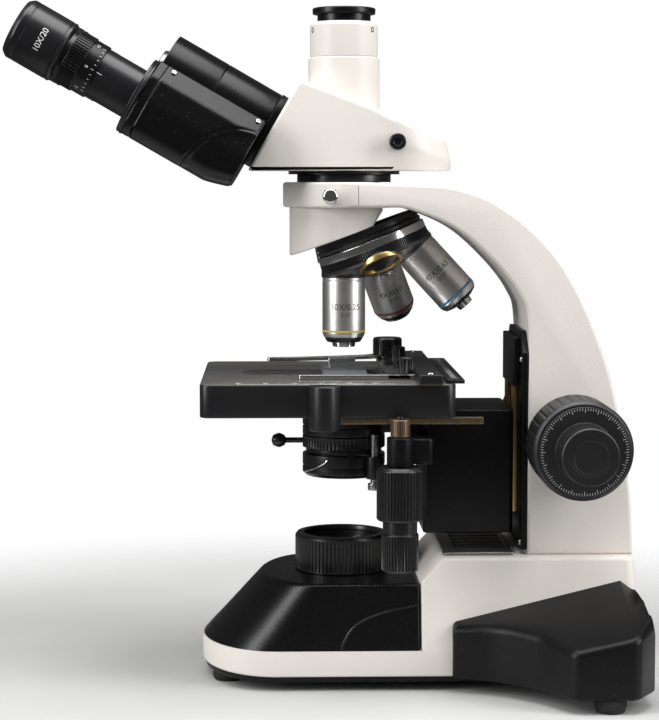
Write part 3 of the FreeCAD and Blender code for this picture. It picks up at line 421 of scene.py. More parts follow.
def tube(name, line, radius, sides, taper=None):
    """A round bar along a line of points; each ring is square to the line."""
    line = np.asarray(line, float)
    along = np.gradient(line, axis=0)
    along /= np.linalg.norm(along, axis=1, keepdims=True)
    side = np.cross(along, (0.13, 0.31, 0.94))
    side /= np.linalg.norm(side, axis=1, keepdims=True)
    up = np.cross(side, along)
    angle = np.linspace(0, 2 * math.pi, sides, endpoint=False)[None, :, None]
    reach = radius if taper is None else radius * np.asarray(taper)[:, None, None]
    rings = line[:, None] + reach * (np.cos(angle) * side[:, None] + np.sin(angle) * up[:, None])
    return skin(name, rings)


BEAD_POINTS, BEAD_LEAN = 48, 0.2035
for side, name in ((-1, "right"), (1, "left")):
    bead = smooth_line([(x, side * (BASE_HALF - 0.65 - (z - BAND_TOP) * BEAD_LEAN), z)
                        for x, z in ((-3.5, 23.6), (-1, 29), (2, 34), (7, 38.3), (15, 42),
                                     (26, 45.3), (40, 48))], BEAD_POINTS)
    ends = np.minimum(1, np.linspace(0.3, 14, BEAD_POINTS))
    fit(tube("cover_bead_" + name, bead, 0.9, 10, ends), "stand", cover_black, "black_plastic")

# ---- Legs ----
# Two black outriggers carry the rear feet.  Each is a cast shell, screwed to the block's side:
# an upright wall with a roof that slopes down from the block.

LEG_LOW = 8.0
LEG_FRONT, LEG_REAR, LEG_INNER = 58.9, 166.0, 50.0
ROOF_START, ROOF_RISE, ROOF_FALL = 39.5, 0.222, 0.31
ROOF_LINE = 54.0
REAR_EDGE, REAR_TOP, REAR_FALL = 160.0, 62.0, 3.4
LEG_EDGE, LEG_FOOT_EDGE = 3.5, 1.2


def roof(x, across):
    """The leg's roof: a plane that rises to the rear and falls outwards, cut off steeply at
    the rear end."""
    plane = ROOF_START + ROOF_RISE * (x - LEG_FRONT) - ROOF_FALL * (across - ROOF_LINE)
    return np.minimum(plane, REAR_TOP - REAR_FALL * (x - REAR_EDGE))


def leg(name, side):
    """Stations along the leg's wall, each a closed loop: floor, wall, rounded edge, roof."""
    wall = rounded([(LEG_FRONT, LEG_INNER, 0), (LEG_FRONT, 63, 3), (84, 73, 60),
                    (104, 92, 30), (119.5, 116, 9), (154, 116, 8), (LEG_REAR, 96, 8),
                    (LEG_REAR, LEG_INNER, 0)], closed=False, steps=10)
    along = np.gradient(wall, axis=0)
    out = np.stack([-along[:, 1], along[:, 0]], 1)
    out /= np.linalg.norm(out, axis=1, keepdims=True)
    wide = np.clip((wall[:, 1] - LEG_INNER) / 6, 0, 1)[:, None]
    ring = []

    def add(inset, height):
        at = wall - out * inset * wide
        ring.append(np.column_stack([at, height(at) if callable(height) else
                                     np.full(len(at), height)]))

    add(LEG_FOOT_EDGE, LEG_LOW)
    add(0, LEG_LOW + LEG_FOOT_EDGE)
    for drop, inset in edge_turn(LEG_EDGE, 6):
        add(inset, lambda at, lower=drop: roof(at[:, 0], at[:, 1]) - lower)
    for share in (0.35, 0.7, 1.0):
        at = wall - out * LEG_EDGE * wide
        at = np.column_stack([at[:, 0], at[:, 1] + (LEG_INNER - at[:, 1]) * share])
        ring.append(np.column_stack([at, roof(at[:, 0], at[:, 1])]))
    inner = ring[-1][:, :2]
    for drop, inset in edge_turn(LEG_EDGE, 6)[::-1]:
        ring.append(np.column_stack([inner, roof(inner[:, 0], inner[:, 1]) - drop]))
    for height in (LEG_LOW + LEG_FOOT_EDGE, LEG_LOW):
        ring.append(np.column_stack([inner, np.full(len(wall), height)]))
    grid = np.stack(ring, 1)
    grid[..., 1] *= side
    return skin(name, grid, caps=False)


fit(leg("leg_right", -1), "stand", black_paint, "black_paint", "legs")
fit(leg("leg_left", 1), "stand", black_paint, "black_paint")

# ---- Feet ----
# Four moulded rubber feet, screwed up into the base and the legs.

FOOT_WIDE = 9.0


def crossed(profile, level):
    """The profile with a point added wherever it passes a height."""
    made = [profile[0]]
    for before, after in zip(profile[:-1], profile[1:]):
        if (before[1] - level) * (after[1] - level) < 0:
            share = (level - before[1]) / (after[1] - before[1])
            made.append((before[0] + share * (after[0] - before[0]), level))
        made.append(after)
    return made


def lathe(name, profile, seat=(0, 0, 0), axis=(0, 0, 1), sides=72, relief=None,
          toward=(0, -1, 0)):
    """A turned piece: the profile's (radius, height) points are carried round the axis, and
    relief(angle, height, radius) is added to the radius.  Angle 0 lies toward a direction,
    or upwards if that is the axis itself."""
    axis = np.array(axis, float) / np.linalg.norm(axis)
    if abs(np.dot(axis, toward)) > 0.99:
        toward = (0, 0, 1)
    for level in getattr(relief, "ends", ()):
        profile = crossed(profile, level)
    start = np.array(toward, float) - np.dot(toward, axis) * axis
    start /= np.linalg.norm(start)
    side = np.cross(axis, start)
    angle = np.linspace(0, 2 * math.pi, sides, endpoint=False)[None, :]
    radius, height = np.array(profile, float).T[:, :, None]
    reach = radius + (relief(angle, height, radius) if relief else 0 * angle)
    grid = (np.array(seat, float) + height[..., None] * axis
            + reach[..., None] * (np.cos(angle)[..., None] * start
                                  + np.sin(angle)[..., None] * side))
    hollow = radius[0, 0] > 0 and radius[-1, 0] > 0
    return skin(name, grid, caps=False, turn_back=hollow)


def joined(name, *pieces):
    """Several meshes made into one piece."""
    shape = bmesh.new()
    for piece in pieces:
        shape.from_mesh(piece.data)
        bpy.data.objects.remove(piece)
    mesh = bpy.data.meshes.new(name)
    shape.to_mesh(mesh)
    shape.free()
    return tidy(name, mesh)


def rubber_finish():
    """Matt black rubber with a fine worn bloom."""
    finish = Finish("foot_rubber")
    bloom = finish.noise(0.004, 4)
    return finish.surface(finish.blend(bloom, (0.012, 0.012, 0.012), (0.030, 0.030, 0.030)),
                          0.75 + 0.1 * bloom, finish.bump(finish.noise(0.0005), 0.00006),
                          Specular_IOR_Level=0.3)


rubber = rubber_finish()
feet = []
for x, y, top in ((-67, 25, 5.2), (140, 106, LEG_LOW + 0.2)):
    for side in (-1, 1):
        foot = rounded([(0, 0, 0), (FOOT_WIDE - 1.2, 0, 1), (FOOT_WIDE, top * 0.55, 1.5),
                        (FOOT_WIDE - 0.6, top, 0.2), (0, top, 0)], closed=False)
        feet.append(lathe("foot", foot, (x, side * y, 0)))
fit(joined("rubber_feet", *feet), "stand", rubber, "rubber", "feet")

# ---- Vent grille ----
# A bead-blasted aluminium frame let into the top of the base, over the lamp, with slats of the
# same metal across a black block of painted shade that stands for the dark hollow under the vent.

GRILLE_FRONT, GRILLE_REAR, GRILLE_HALF = 55.0, 95.0, 42.0
GRILLE_LOW = BASE_TOP + 0.02


def dense(loop, step):
    """A closed loop with points added so that no run is longer than a step."""
    return np.concatenate([start + (stop - start) * np.linspace(0, 1, max(
        1, math.ceil(np.linalg.norm(stop - start) / step)), endpoint=False)[:, None]
        for start, stop in zip(loop, np.roll(loop, -1, axis=0))])


def inset(loop, depth):
    """A closed loop moved inwards by a depth, along the normal at each point."""
    ahead = np.roll(loop, -1, axis=0) - loop
    ahead /= np.linalg.norm(ahead, axis=1, keepdims=True) + 1e-12
    back = np.roll(ahead, 1, axis=0)
    normal = np.stack([-(ahead + back)[:, 1], (ahead + back)[:, 0]], 1)
    normal /= np.linalg.norm(normal, axis=1, keepdims=True) + 1e-12
    stretch = np.clip(np.sum(normal * np.stack([-ahead[:, 1], ahead[:, 0]], 1), axis=1), 0.5, 1)
    x, y = loop.T
    area = np.sum(x * np.roll(y, -1) - y * np.roll(x, -1))
    return loop + normal * (math.copysign(depth, area) / stretch)[:, None]


def facing(across, up, out, origin=(0, 0, 0)):
    """A function that puts (across, up, out) coordinates in place."""
    frame_axes = np.array([across, up, out], float)
    return lambda points: np.asarray(points, float) @ frame_axes + np.array(origin, float)


FLAT = facing((1, 0, 0), (0, 1, 0), (0, 0, 1))


def slab(name, loop, low, high, edge, put):
    """A flat piece: an outline carried from low to high, its edges rounded."""
    turns = edge_turn(edge, 4)
    rows = [(low + drop, depth) for drop, depth in turns[::-1]]
    rows += [(high - drop, depth) for drop, depth in turns]
    grid = np.stack([np.column_stack([inset(loop, depth), np.full(len(loop), height)])
                     for height, depth in rows])
    return skin(name, put(grid))


def pierced(name, loop, hole, low, high, edge, put=FLAT, hole_edge=0.3):
    """A flat piece with one opening.  The hole's outline is read off in the direction of each
    point of the outer one, as seen from the hole's middle."""
    loop = dense(loop, 3.0)
    middle = (hole.max(0) + hole.min(0)) / 2
    inner = dense(hole, 0.4) - middle
    angle = np.arctan2(inner[:, 1], inner[:, 0])
    order = np.argsort(angle)
    outer_angle = np.arctan2(*(loop - middle).T[::-1])
    reach = np.interp(outer_angle, angle[order], np.hypot(*inner[order].T), period=2 * math.pi)
    mouth = middle + np.stack([np.cos(outer_angle), np.sin(outer_angle)], 1) * reach[:, None]
    turns, mouth_turns = edge_turn(edge, 4), edge_turn(hole_edge, 4)
    rows = [(loop, low + drop, depth) for drop, depth in turns[::-1]]
    rows += [(loop, high - drop, depth) for drop, depth in turns]
    rows += [(mouth, high - drop, -depth) for drop, depth in mouth_turns[::-1]]
    rows += [(mouth, low + drop, -depth) for drop, depth in mouth_turns]
    grid = np.stack([np.column_stack([inset(line, depth), np.full(len(line), height)])
                     for line, height, depth in rows])
    return skin(name, put(grid), turn_back=True)


def box_loop(left, near, right, far, corner, steps=5):
    """A rectangle with round corners."""
    return rounded([(left, near, corner), (right, near, corner), (right, far, corner),
                    (left, far, corner)], steps=steps)


def bar(name, low, high, edge, corner=None, put=FLAT):
    """A rectangular bar between two corners, its edges rounded."""
    loop = box_loop(low[0], low[1], high[0], high[1], corner or edge)
    return slab(name, loop, low[2], high[2], edge, put)


def metal(name, colour, rough, line, axis=(0, 0, 1), grain=0.0003):
    """Bare or plated metal: lines of the lathe or the brush run round an axis, and the tone
    drifts a little."""
    finish = Finish(name)
    lines = finish.noise(grain, 2, 0.6, (60, 60, 1), axis)
    tone = finish.noise(0.02, 3)
    shade = finish.blend(tone, [c * 0.95 for c in colour], colour)
    return finish.surface(shade, rough + 0.12 * (lines - 0.5), finish.bump(lines, line),
                          Metallic=1.0)


satin_aluminium = metal("blasted_aluminium", (0.27, 0.25, 0.23), 0.42, 0.000004)
vent = pierced("vent_frame", box_loop(GRILLE_FRONT, -GRILLE_HALF, GRILLE_REAR, GRILLE_HALF, 2),
               box_loop(GRILLE_FRONT + 7, 5 - GRILLE_HALF, GRILLE_REAR - 3, GRILLE_HALF - 5, 1),
               GRILLE_LOW, GRILLE_LOW + 1.8, 0.8)
fit(vent, "stand", satin_aluminium, "black_plastic", "vent_grille")
SLATS = 7
slats = [bar("slat", (GRILLE_FRONT + 6, y - 2.2, BASE_TOP - 0.6),
             (GRILLE_REAR - 2, y + 2.2, BASE_TOP + 1.5), 0.5)
         for y in np.linspace(9 - GRILLE_HALF, GRILLE_HALF - 9, SLATS)]
fit(joined("vent_slats", *slats), "stand", satin_aluminium, "black_plastic")
# Painted shade: a black block under the slats stands for the shade in the hollow below the vent.
vent_shade_block = bar("vent_painted_shade", (GRILLE_FRONT + 6, 4 - GRILLE_HALF, BASE_TOP - 3),
          (GRILLE_REAR - 2, GRILLE_HALF - 4, BASE_TOP + 0.25), 0.2)
fit(vent_shade_block, "stand", rubber, "black_plastic")

# ---- Light collector ----
# A black anodised tube screwed into the cover, with a ground lens in its mouth and a fluted
# ring that turns to work the field diaphragm.

COLLECTOR_X = -1.2
RING_FLUTES = 72
ANODISED_BLACK = (0.006, 0.006, 0.007)


def flutes(count, depth, low, high, over, narrow=3.0):
    """Grooves cut along a knob between two heights, deepest where count * angle is whole."""
    def cut(angle, height, radius):
        window = ((height > low) & (height < high) & (radius > over)).astype(float)
        return -depth * window * np.clip(np.cos(count * angle), 0, 1) ** narrow
    cut.ends = (low + 0.05, high - 0.05)
    return cut


def anodised(name, axis=(0, 0, 1), rough=0.30):
    """Black anodised aluminium: dark, satin, with faint lines left by the lathe."""
    finish = Finish(name)
    lines = finish.noise(0.00035, 2, 0.6, (60, 60, 1), axis)
    tone = finish.noise(0.015, 3)
    shade = finish.blend(tone, ANODISED_BLACK, [c * 1.6 for c in ANODISED_BLACK])
    return finish.surface(shade, rough + 0.14 * (lines - 0.5), finish.bump(lines, 0.000006),
                          Specular_IOR_Level=0.55)


black_anodised = anodised("black_anodised")
collector = (COLLECTOR_X, 0, 0)
housing = rounded([(18, 44, 0.3), (22.6, 44, 0.3), (22.6, 78, 0.6), (20.5, 78, 0.3),
                   (20.5, 75, 0.3), (18, 75, 0.3)])
fit(lathe("collector_tube", housing, collector), "stand", black_anodised, "anodised",
    "collector_housing")


def glass_finish():
    """Coated optical glass."""
    finish = Finish("lens_glass")
    haze = finish.noise(0.01, 3)
    return finish.surface(finish.blend(haze, (0.80, 0.86, 0.90), (0.90, 0.94, 0.97)),
                          0.03 + 0.04 * haze, Transmission_Weight=0.85, IOR=1.5)


glass = glass_finish()


def lens(name, radius, low, rim, crown, seat, axis=(0, 0, 1)):
    """A glass whose top bulges by crown over its rim."""
    share = np.linspace(1, 0, 9)
    dome = [(radius * part, rim + crown * (1 - part * part)) for part in share]
    return lathe(name, [(0, low), (radius, low)] + dome, seat, axis, 64)


fit(lens("collector_lens", 17.9, 71.8, 73.2, 1.6, collector), "stand", glass, "glass",
    "field_lens")
ring = rounded([(22.9, 59.8, 0.3), (27, 59.8, 0.5), (27, 60.6, 0), (27, 60.9, 0), (27, 78.2, 0),
                (27, 78.5, 0), (27, 79.3, 0.5), (25.7, 81, 0.5), (22.0, 81, 0.4),
                (21.6, 78.4, 0.2), (22.9, 78.4, 0.1)])
fit(lathe("collector_grip", ring, collector, sides=RING_FLUTES * 8,
          relief=flutes(RING_FLUTES, 0.55, 60.7, 78.4, 26)), "collector_ring", black_anodised,
    "anodised", "collector_ring")

# ---- Arm ----
# The large white casting.  It rises from the block, curves forward over the stage and ends in
# a round pad on the optical axis that carries the head above and the nosepiece below.

ARM_HALF, ARM_TOP, ARM_UNDER = 40.0, 283.6, 269.4
PAD_MIDDLE, ARM_BELLY = 5.0, 102.5


def layers(name, outline_at, half, edge, count):
    """A thick piece: its side outline at each depth y from -half to half, moved inwards near
    both faces so that the rim is rounded with radius edge."""
    depth = half * np.sin(np.linspace(-math.pi / 2, math.pi / 2, count))
    near_edge = half - edge + edge * np.sin(np.linspace(0, math.pi / 2, 6))
    depth = np.unique(np.round(np.concatenate([depth[np.abs(depth) < half - edge],
                                               near_edge, -near_edge]), 5))
    grid = []
    for y in depth:
        over = max(0.0, abs(y) - (half - edge))
        drop = edge - math.sqrt(max(0.0, edge * edge - over * over))
        loop = inset(outline_at(y), drop)
        grid.append(np.column_stack([loop[:, 0], np.full(len(loop), y), loop[:, 1]]))
    return skin(name, np.stack(grid))


def arm_outline(y):
    """The arm seen from the side, at depth y; its front end is a circle in plan."""
    front = PAD_MIDDLE - math.sqrt(max(0.0, ARM_HALF ** 2 - y * y))
    back = smooth_line([(0, ARM_TOP), (41, 283.5), (65, 279.6), (85.8, 271), (109.5, 252),
                        (128.2, 226.3), (145, 187), (154.4, 150.2), (160.3, 112),
                        (162.5, BASE_TOP)], 70)[12:]
    belly = smooth_line([(ARM_BELLY, 150), (ARM_BELLY, 202.6), (97.4, 220.5), (82.5, 239.6),
                         (61.5, 257.6), (35, 268.5), (20, ARM_UNDER)], 50)
    corners = ([(front, ARM_UNDER, 1.6), (front, ARM_TOP, 1.6), (12, ARM_TOP, 0)]
               + [(x, z, 0) for x, z in back] + [(ARM_BELLY, BASE_TOP, 0)]
               + [(x, z, 0) for x, z in belly])
    return rounded(corners)


fit(layers("arm_casting", arm_outline, ARM_HALF, 2.0, 91), "stand", white_paint, "white_paint",
    "arm")

# ---- Front plate, slideway and rails ----
# A black steel plate closes the arm's hollow.  Two brass rails guide the stage at either side of
# its slot, dark strips of painted shade fill the slot's ends where the hollow arm lies in shade,
# and a guard block hides the rails' top.

PLATE_FACE, PLATE_TOP = 99.0, 200.0
SLOT_HALF, SLOT_LOW, SLOT_TOP = 12.0, 95.0, 190.0
SLOT_OPEN, SLOT_SHUT = 111.5, 158.5
GUARD_HALF, GUARD_LOW, GUARD_FACE = 28.0, 168.0, 95.3
FORWARD = facing((0, 1, 0), (0, 0, 1), (1, 0, 0))
plate_loop = rounded([(1 - ARM_HALF, 76.2, 0.6), (ARM_HALF - 1, 76.2, 0.6),
                      (ARM_HALF - 1, PLATE_TOP - 12, 2), (ARM_HALF - 13, PLATE_TOP, 2),
                      (13 - ARM_HALF, PLATE_TOP, 2), (1 - ARM_HALF, PLATE_TOP - 12, 2)])
slot_loop = box_loop(-SLOT_HALF, SLOT_LOW, SLOT_HALF, SLOT_TOP, 1.0)
fit(pierced("slideway_plate", plate_loop, slot_loop, PLATE_FACE, 102.4, 0.6, FORWARD),
    "stand", black_paint, "black_paint", "front_plate")
brass = metal("machined_brass", (0.60, 0.42, 0.18), 0.30, 0.000006, (0, 0, 1), 0.0006)
rails = [bar("rail", (side * 17 - 3, SLOT_LOW, PLATE_FACE - 3.4),
             (side * 17 + 3, SLOT_TOP + 5, PLATE_FACE), 0.5, put=FORWARD) for side in (-1, 1)]
fit(joined("slideway_rails", *rails), "stand", brass, "brass", "guide_rails")
# Painted shade: thin black strips in the slot's open ends stand for the shade inside the hollow
# arm.
painted_shade_strips = [bar("shade", (-SLOT_HALF, low, 101.6), (SLOT_HALF, high, 102.3), 0.1, 0.3, FORWARD)
          for low, high in ((SLOT_LOW, SLOT_OPEN), (SLOT_SHUT, SLOT_TOP))]
fit(joined("slot_painted_shade", *painted_shade_strips), "stand", rubber, "black_paint")
guard = bar("slideway_guard", (-GUARD_HALF, GUARD_LOW, GUARD_FACE),
            (GUARD_HALF, PLATE_TOP - 4, PLATE_FACE + 0.3), 0.6, 1.0, FORWARD)
fit(guard, "stand", black_paint, "black_paint")


def screw_head(radius, seat, axis):
    """A pan head with a driver recess."""
    profile = rounded([(0, -0.6, 0), (radius, -0.6, 0), (radius, radius * 0.5, radius * 0.45),
                       (radius * 0.45, radius * 0.55, 0.05), (radius * 0.42, radius * 0.2, 0),
                       (0, radius * 0.15, 0)], closed=False)
    return lathe("screw", profile, seat, axis, 32)


bright_steel = metal("screw_steel", (0.62, 0.61, 0.59), 0.25, 0.000004)
screws = [screw_head(1.6, (PLATE_FACE, side * 35, z), (-1, 0, 0))
          for side in (-1, 1) for z in (80, 184)]
fit(joined("plate_screws", *screws), "stand", bright_steel, "steel")

# ---- Head seat and clamp ----
# A black collar on the pad takes the head's dovetail; a plated thumbscrew locks it.

collar = rounded([(20.45, ARM_TOP, 0.2), (26.9, ARM_TOP, 0.2), (26.9, 288.2, 0.6),
                  (20.45, 288.2, 0.3)])
fit(lathe("seat_collar", collar), "stand", black_anodised, "anodised", "arm_collar")
chrome = metal("bright_chrome", (0.80, 0.79, 0.78), 0.14, 0.000003, (0, 1, 0))
clamp = rounded([(0, 22, 0), (2.5, 22, 0), (2.5, 39.3, 0), (4.2, 39.3, 0.3), (4.5, 42.5, 0.6),
                 (4.3, 47.6, 1.8), (0, 48.3, 0)], closed=False)
fit(lathe("clamp_knob", clamp, (-9, 0, 276), (0, -1, 0), 48), "head_clamp_screw", chrome,
    "chrome", "head_clamp_screw")

# ---- Nosepiece mount ----
# A white casting under the pad, cut off at the nosepiece's tilt.

MOUNT_MIDDLE, MOUNT_HALF = 1.7, 33.0
MOUNT_LOW, MOUNT_SLOPE = 241.4, 0.379


def mount_outline(y):
    """The mount seen from the side at depth y: a disc in plan, a wedge in profile."""
    reach = math.sqrt(max(0.0, MOUNT_HALF ** 2 - y * y))
    front, rear = MOUNT_MIDDLE - reach, min(21.0, MOUNT_MIDDLE + reach)
    under = min(15.7, rear - 2)
    low, rise = (MOUNT_LOW + (at - MOUNT_MIDDLE + MOUNT_HALF) * MOUNT_SLOPE
                 for at in (front, under))
    return rounded([(front, 269.3, 0.5), (rear, 269.3, 0.5), (rear, 267.5, 0.5),
                    (under, rise, 0.4), (front, low, 0.8)])


fit(layers("nosepiece_casting", mount_outline, 32.7, 0.2, 71), "stand", white_paint,
    "white_paint", "nosepiece_mount")

# ---- Revolving nosepiece ----
# A black bearing ring on the mount and a turret below it with a knurled rim.  The turret has
# four threaded brass ports; a spring click holds each in place.

TURN_AXIS = np.array(joints["turret_turn"]["axis"])
TURN_SEAT = 1000 * np.array(joints["turret_turn"]["pos_m"]) - (AXIS_X, 0, 0)
PORT_RING = 22.05
TILT = math.asin(-TURN_AXIS[0])

turret_black = anodised("turret_black", TURN_AXIS)
bearing = rounded([(24.3, 15.3, 0.2), (31.0, 15.3, 0.3), (31.5, 17.2, 0.3), (30.4, 18.2, 0.3),
                   (31.2, 19, 0.3), (31.2, 21.9, 0.4), (24.3, 21.9, 0.2)])
fit(lathe("nosepiece_ring", bearing, TURN_SEAT, TURN_AXIS), "stand", turret_black, "anodised",
    "nosepiece_bearing")
pivot = rounded([(0, -8.4, 0), (6.5, -8.4, 0.8), (6.5, -5.9, 0.3), (4, -5.9, 0), (4, 21.9, 0),
                 (0, 21.9, 0)], closed=False)
turned_steel = metal("turned_steel", (0.60, 0.59, 0.58), 0.22, 0.000005, TURN_AXIS)
fit(lathe("nosepiece_pivot", pivot, TURN_SEAT, TURN_AXIS, 48), "stand", turned_steel, "steel",
    "turret_pivot")

RIM_TEETH = 150
slope = math.tan(TILT)
cone = rounded([(4.1, -5.6, 0), (8, (8 - PORT_RING) * slope, 0.5),
                (31.2, (31.2 - PORT_RING) * slope, 0.6), (32.0, 5.6, 0.3), (32.0, 15, 0.4),
                (4.1, 15, 0)])
steel_cone = metal("turret_steel", (0.17, 0.17, 0.175), 0.30, 0.00001, TURN_AXIS, 0.0008)
fit(lathe("turret_shell", cone, TURN_SEAT, TURN_AXIS, 96), "turret", steel_cone, "anodised",
    "turret")
strip = rounded([(31.8, 10.4, 0.1), (32.4, 10.4, 0.2), (32.4, 14.8, 0.3), (31.8, 14.8, 0.1)])
fit(lathe("turret_strip", strip, TURN_SEAT, TURN_AXIS, 96), "turret",
    metal("strip_chrome", (0.78, 0.77, 0.76), 0.16, 0.000004, TURN_AXIS), "anodised")
grip = rounded([(31.8, 5.3, 0.2), (32.6, 5.3, 0.3), (32.6, 5.7, 0), (32.6, 10.0, 0),
                (32.6, 10.3, 0.2), (31.8, 10.3, 0.2)])
fit(lathe("turret_knurl", grip, TURN_SEAT, TURN_AXIS, RIM_TEETH * 6,
          flutes(RIM_TEETH, 0.45, 5.5, 10.2, 32.3, 1)), "turret", turret_black, "anodised")
click = bar("nosepiece_click", (-1.2, -4, -10), (0, 4, 0), 0.2,
            put=facing((0.94, 0, 0.34), (0, 1, 0), (-0.2, 0, 0.98), (-15.8, 0, 247.4)))
fit(click, "stand", bright_steel, "steel")


def port(step):
    """Seat and outward direction of a port; 0 is the one in use."""
    turn = math.pi / 2 * step
    first = np.array((-math.cos(TILT), 0, -math.sin(TILT)))
    across = np.cross(TURN_AXIS, first)
    ring = math.cos(turn) * first + math.sin(turn) * across
    down = np.array((0, 0, -1.0))
    way = (down * math.cos(turn) + np.cross(TURN_AXIS, down) * math.sin(turn)
           + TURN_AXIS * (TURN_AXIS @ down) * (1 - math.cos(turn)))
    return TURN_SEAT + ring * PORT_RING, way


inserts = []
for step in range(4):
    seat, way = port(step)
    insert = rounded([(10.16, -5, 0.2), (12.4, -5, 0.2), (12.4, -0.1, 0.2), (11.9, 0.35, 0.2),
                      (10.7, 0.35, 0.2), (10.16, -0.4, 0.1)])
    inserts.append(lathe("insert", insert, seat, way, 64))
fit(joined("port_rings", *inserts), "turret", brass, "brass", "port_inserts")

# ---- Objectives ----
# Three plated objectives of 4, 10 and 40 times.  Each has a dark neck, a bright barrel, a painted
# ring for its power with thin black lines of painted groove shade at its edges, a black cone and a
# small front lens.

PRINT_RISE = 0.03


def ink(name, colour):
    """Screen-printed ink, slightly uneven."""
    finish = Finish(name)
    uneven = finish.noise(0.0008, 3)
    return finish.surface(finish.blend(uneven, [c * 0.85 for c in colour], colour),
                          0.5 + 0.1 * uneven)


def on_barrel(seat, axis, radius, height, toward):
    """Places print on a barrel: x runs round it, y along its axis and z outwards."""
    axis = np.array(axis, float)
    start = np.array(toward, float) - np.dot(toward, axis) * axis
    start /= np.linalg.norm(start)
    side = np.cross(axis, start)

    def put(points):
        x, y, z = np.asarray(points, float).T[:, :, None]
        return (np.array(seat, float) + (height + y) * axis + (radius + z)
                * (np.cos(x / radius) * start + np.sin(x / radius) * side))
    return put


def printed(name, text, size, put):
    """Digits as thin solid print, centred on their place."""
    letters = bpy.data.curves.new(name, "FONT")
    letters.body = text
    letters.size = size
    letters.extrude = PRINT_RISE
    letters.align_x, letters.align_y = "CENTER", "CENTER"
    holder = bpy.data.objects.new(name, letters)
    mesh = bpy.data.meshes.new_from_object(holder)
    bpy.data.objects.remove(holder)
    points = np.empty(len(mesh.vertices) * 3)
    mesh.vertices.foreach_get("co", points)
    placed = (put(points.reshape(-1, 3)) + (AXIS_X, 0, 0)) * MM
    mesh.vertices.foreach_set("co", placed.ravel())
    mesh.materials.clear()
    return tidy(name, mesh)


def ticks(name, marks, put):
    """Many small printed bars; each mark is (x, y, width, height)."""
    x, y, wide, high = np.array(marks, float).T[:, :, None]
    corner = np.array([(-1, -1, -1), (1, -1, -1), (1, 1, -1), (-1, 1, -1),
                       (-1, -1, 1), (1, -1, 1), (1, 1, 1), (-1, 1, 1)]) / 2
    points = np.stack([x + corner[:, 0] * wide, y + corner[:, 1] * high,
                       0 * x + corner[:, 2] * 2 * PRINT_RISE], -1).reshape(-1, 3)
    face = np.array([(0, 3, 2, 1), (4, 5, 6, 7), (0, 1, 5, 4), (1, 2, 6, 5), (2, 3, 7, 6),
                     (3, 0, 4, 7)])
    faces = (np.arange(len(marks))[:, None, None] * 8 + face).reshape(-1, 4)
    mesh = bpy.data.meshes.new(name)
    mesh.from_pydata(((put(points) + (AXIS_X, 0, 0)) * MM).tolist(), [], faces.tolist())
    return tidy(name, mesh)


BARREL, BAND_HALF = 12.35, 0.45
black_ink = ink("black_ink", (0.02, 0.02, 0.02))
nose_black = anodised("nose_black", rough=0.25)
necks, noses, tips, print_and_groove_shade = [], [], [], []
for step, power, aperture, ring_at, ring_colour, cone, nose, tip in (
        (0, "10X", "0.25", 31.0, (0.80, 0.62, 0.02), 34.6, (9.6, 37.4), (6.4, 40.2)),
        (3, "4X", "0.10", 29.6, (0.50, 0.02, 0.03), 32.8, (10.2, 34.8), (8.4, 36.9)),
        (2, "40X", "0.65", 34.4, (0.03, 0.30, 0.62), 38.4, (7.0, 40.6), (4.6, 43.9))):
    seat, way = port(step)
    plated = metal("barrel_chrome_" + power, (0.90, 0.885, 0.875), 0.36, 0.000002, way)
    barrel = rounded([(0, -4, 0), (9.9, -4, 0), (9.9, 0.2, 0), (BARREL, 0.2, 0.3),
                      (BARREL, 1.5, 0.1), (BARREL - 0.3, 1.7, 0.1), (BARREL - 0.3, 2.0, 0.1),
                      (BARREL, 2.2, 0.1), (BARREL, cone - 2.4, 1.5), (BARREL - 0.9, cone, 0.6),
                      (nose[0] - 1, cone + 0.2, 0), (0, cone + 0.2, 0)], closed=False)
    node = "objective_" + power.lower()
    fit(lathe("barrel_" + power, barrel, seat, way, 96), "turret", plated, "chrome", node)
    # Painted shade: thin black rings at both edges of the power ring stand for the shade in the
    # grooves beside it.
    for edge in (ring_at - BAND_HALF, ring_at + BAND_HALF):
        line = hoop(BARREL - 0.3, BARREL + 0.02, edge - 0.08, edge + 0.08)
        print_and_groove_shade.append(lathe("edge", line, seat, way, 96))
    band = hoop(BARREL - 0.3, BARREL + 0.04, ring_at - BAND_HALF, ring_at + BAND_HALF)
    fit(lathe("power_ring_" + power, band, seat, way, 96), "turret",
        ink("ring_paint_" + power, ring_colour), "chrome")
    necks.append(lathe("neck", rounded([(9.95, -4.3, 0), (12.9, -4.3, 0.4), (12.9, 0.1, 0.3),
                                        (9.95, 0.1, 0)]), seat, way, 96))
    noses.append(lathe("nose", rounded([
        (0, cone - 0.2, 0), (BARREL - 1.2, cone - 0.2, 0), (BARREL - 1.5, cone + 0.8, 0.5),
        (nose[0], nose[1], 0.6), (tip[0] + 0.7, nose[1] + 0.3, 0.3), (0, nose[1] + 0.3, 0)],
        closed=False), seat, way, 96))
    tips.append(lathe("tip", rounded([
        (0, nose[1], 0), (tip[0] + 0.4, nose[1], 0), (tip[0], tip[1], 0.4),
        (tip[0] * 0.62, tip[1], 0.1), (tip[0] * 0.5, tip[1] - 0.8, 0),
        (0, tip[1] - 0.8, 0)], closed=False), seat, way, 64))
    fit(lens("front_lens_" + power, tip[0] * 0.5, tip[1] - 1.0, tip[1] - 0.7, 0.3, seat, way),
        "turret", glass, "glass")
    toward = (0.05, -1, 0)
    for text, size, down in ((power + "/" + aperture, 4.9, 17.0), ("0.17", 3.2, 21.6)):
        put = on_barrel(seat, -way, BARREL, -down, toward)
        print_and_groove_shade.append(printed("print", text, size, put))
fit(joined("barrel_print_and_groove_shade", *print_and_groove_shade), "turret", black_ink, "chrome")
fit(joined("objective_necks", *necks), "turret", steel_cone, "anodised")
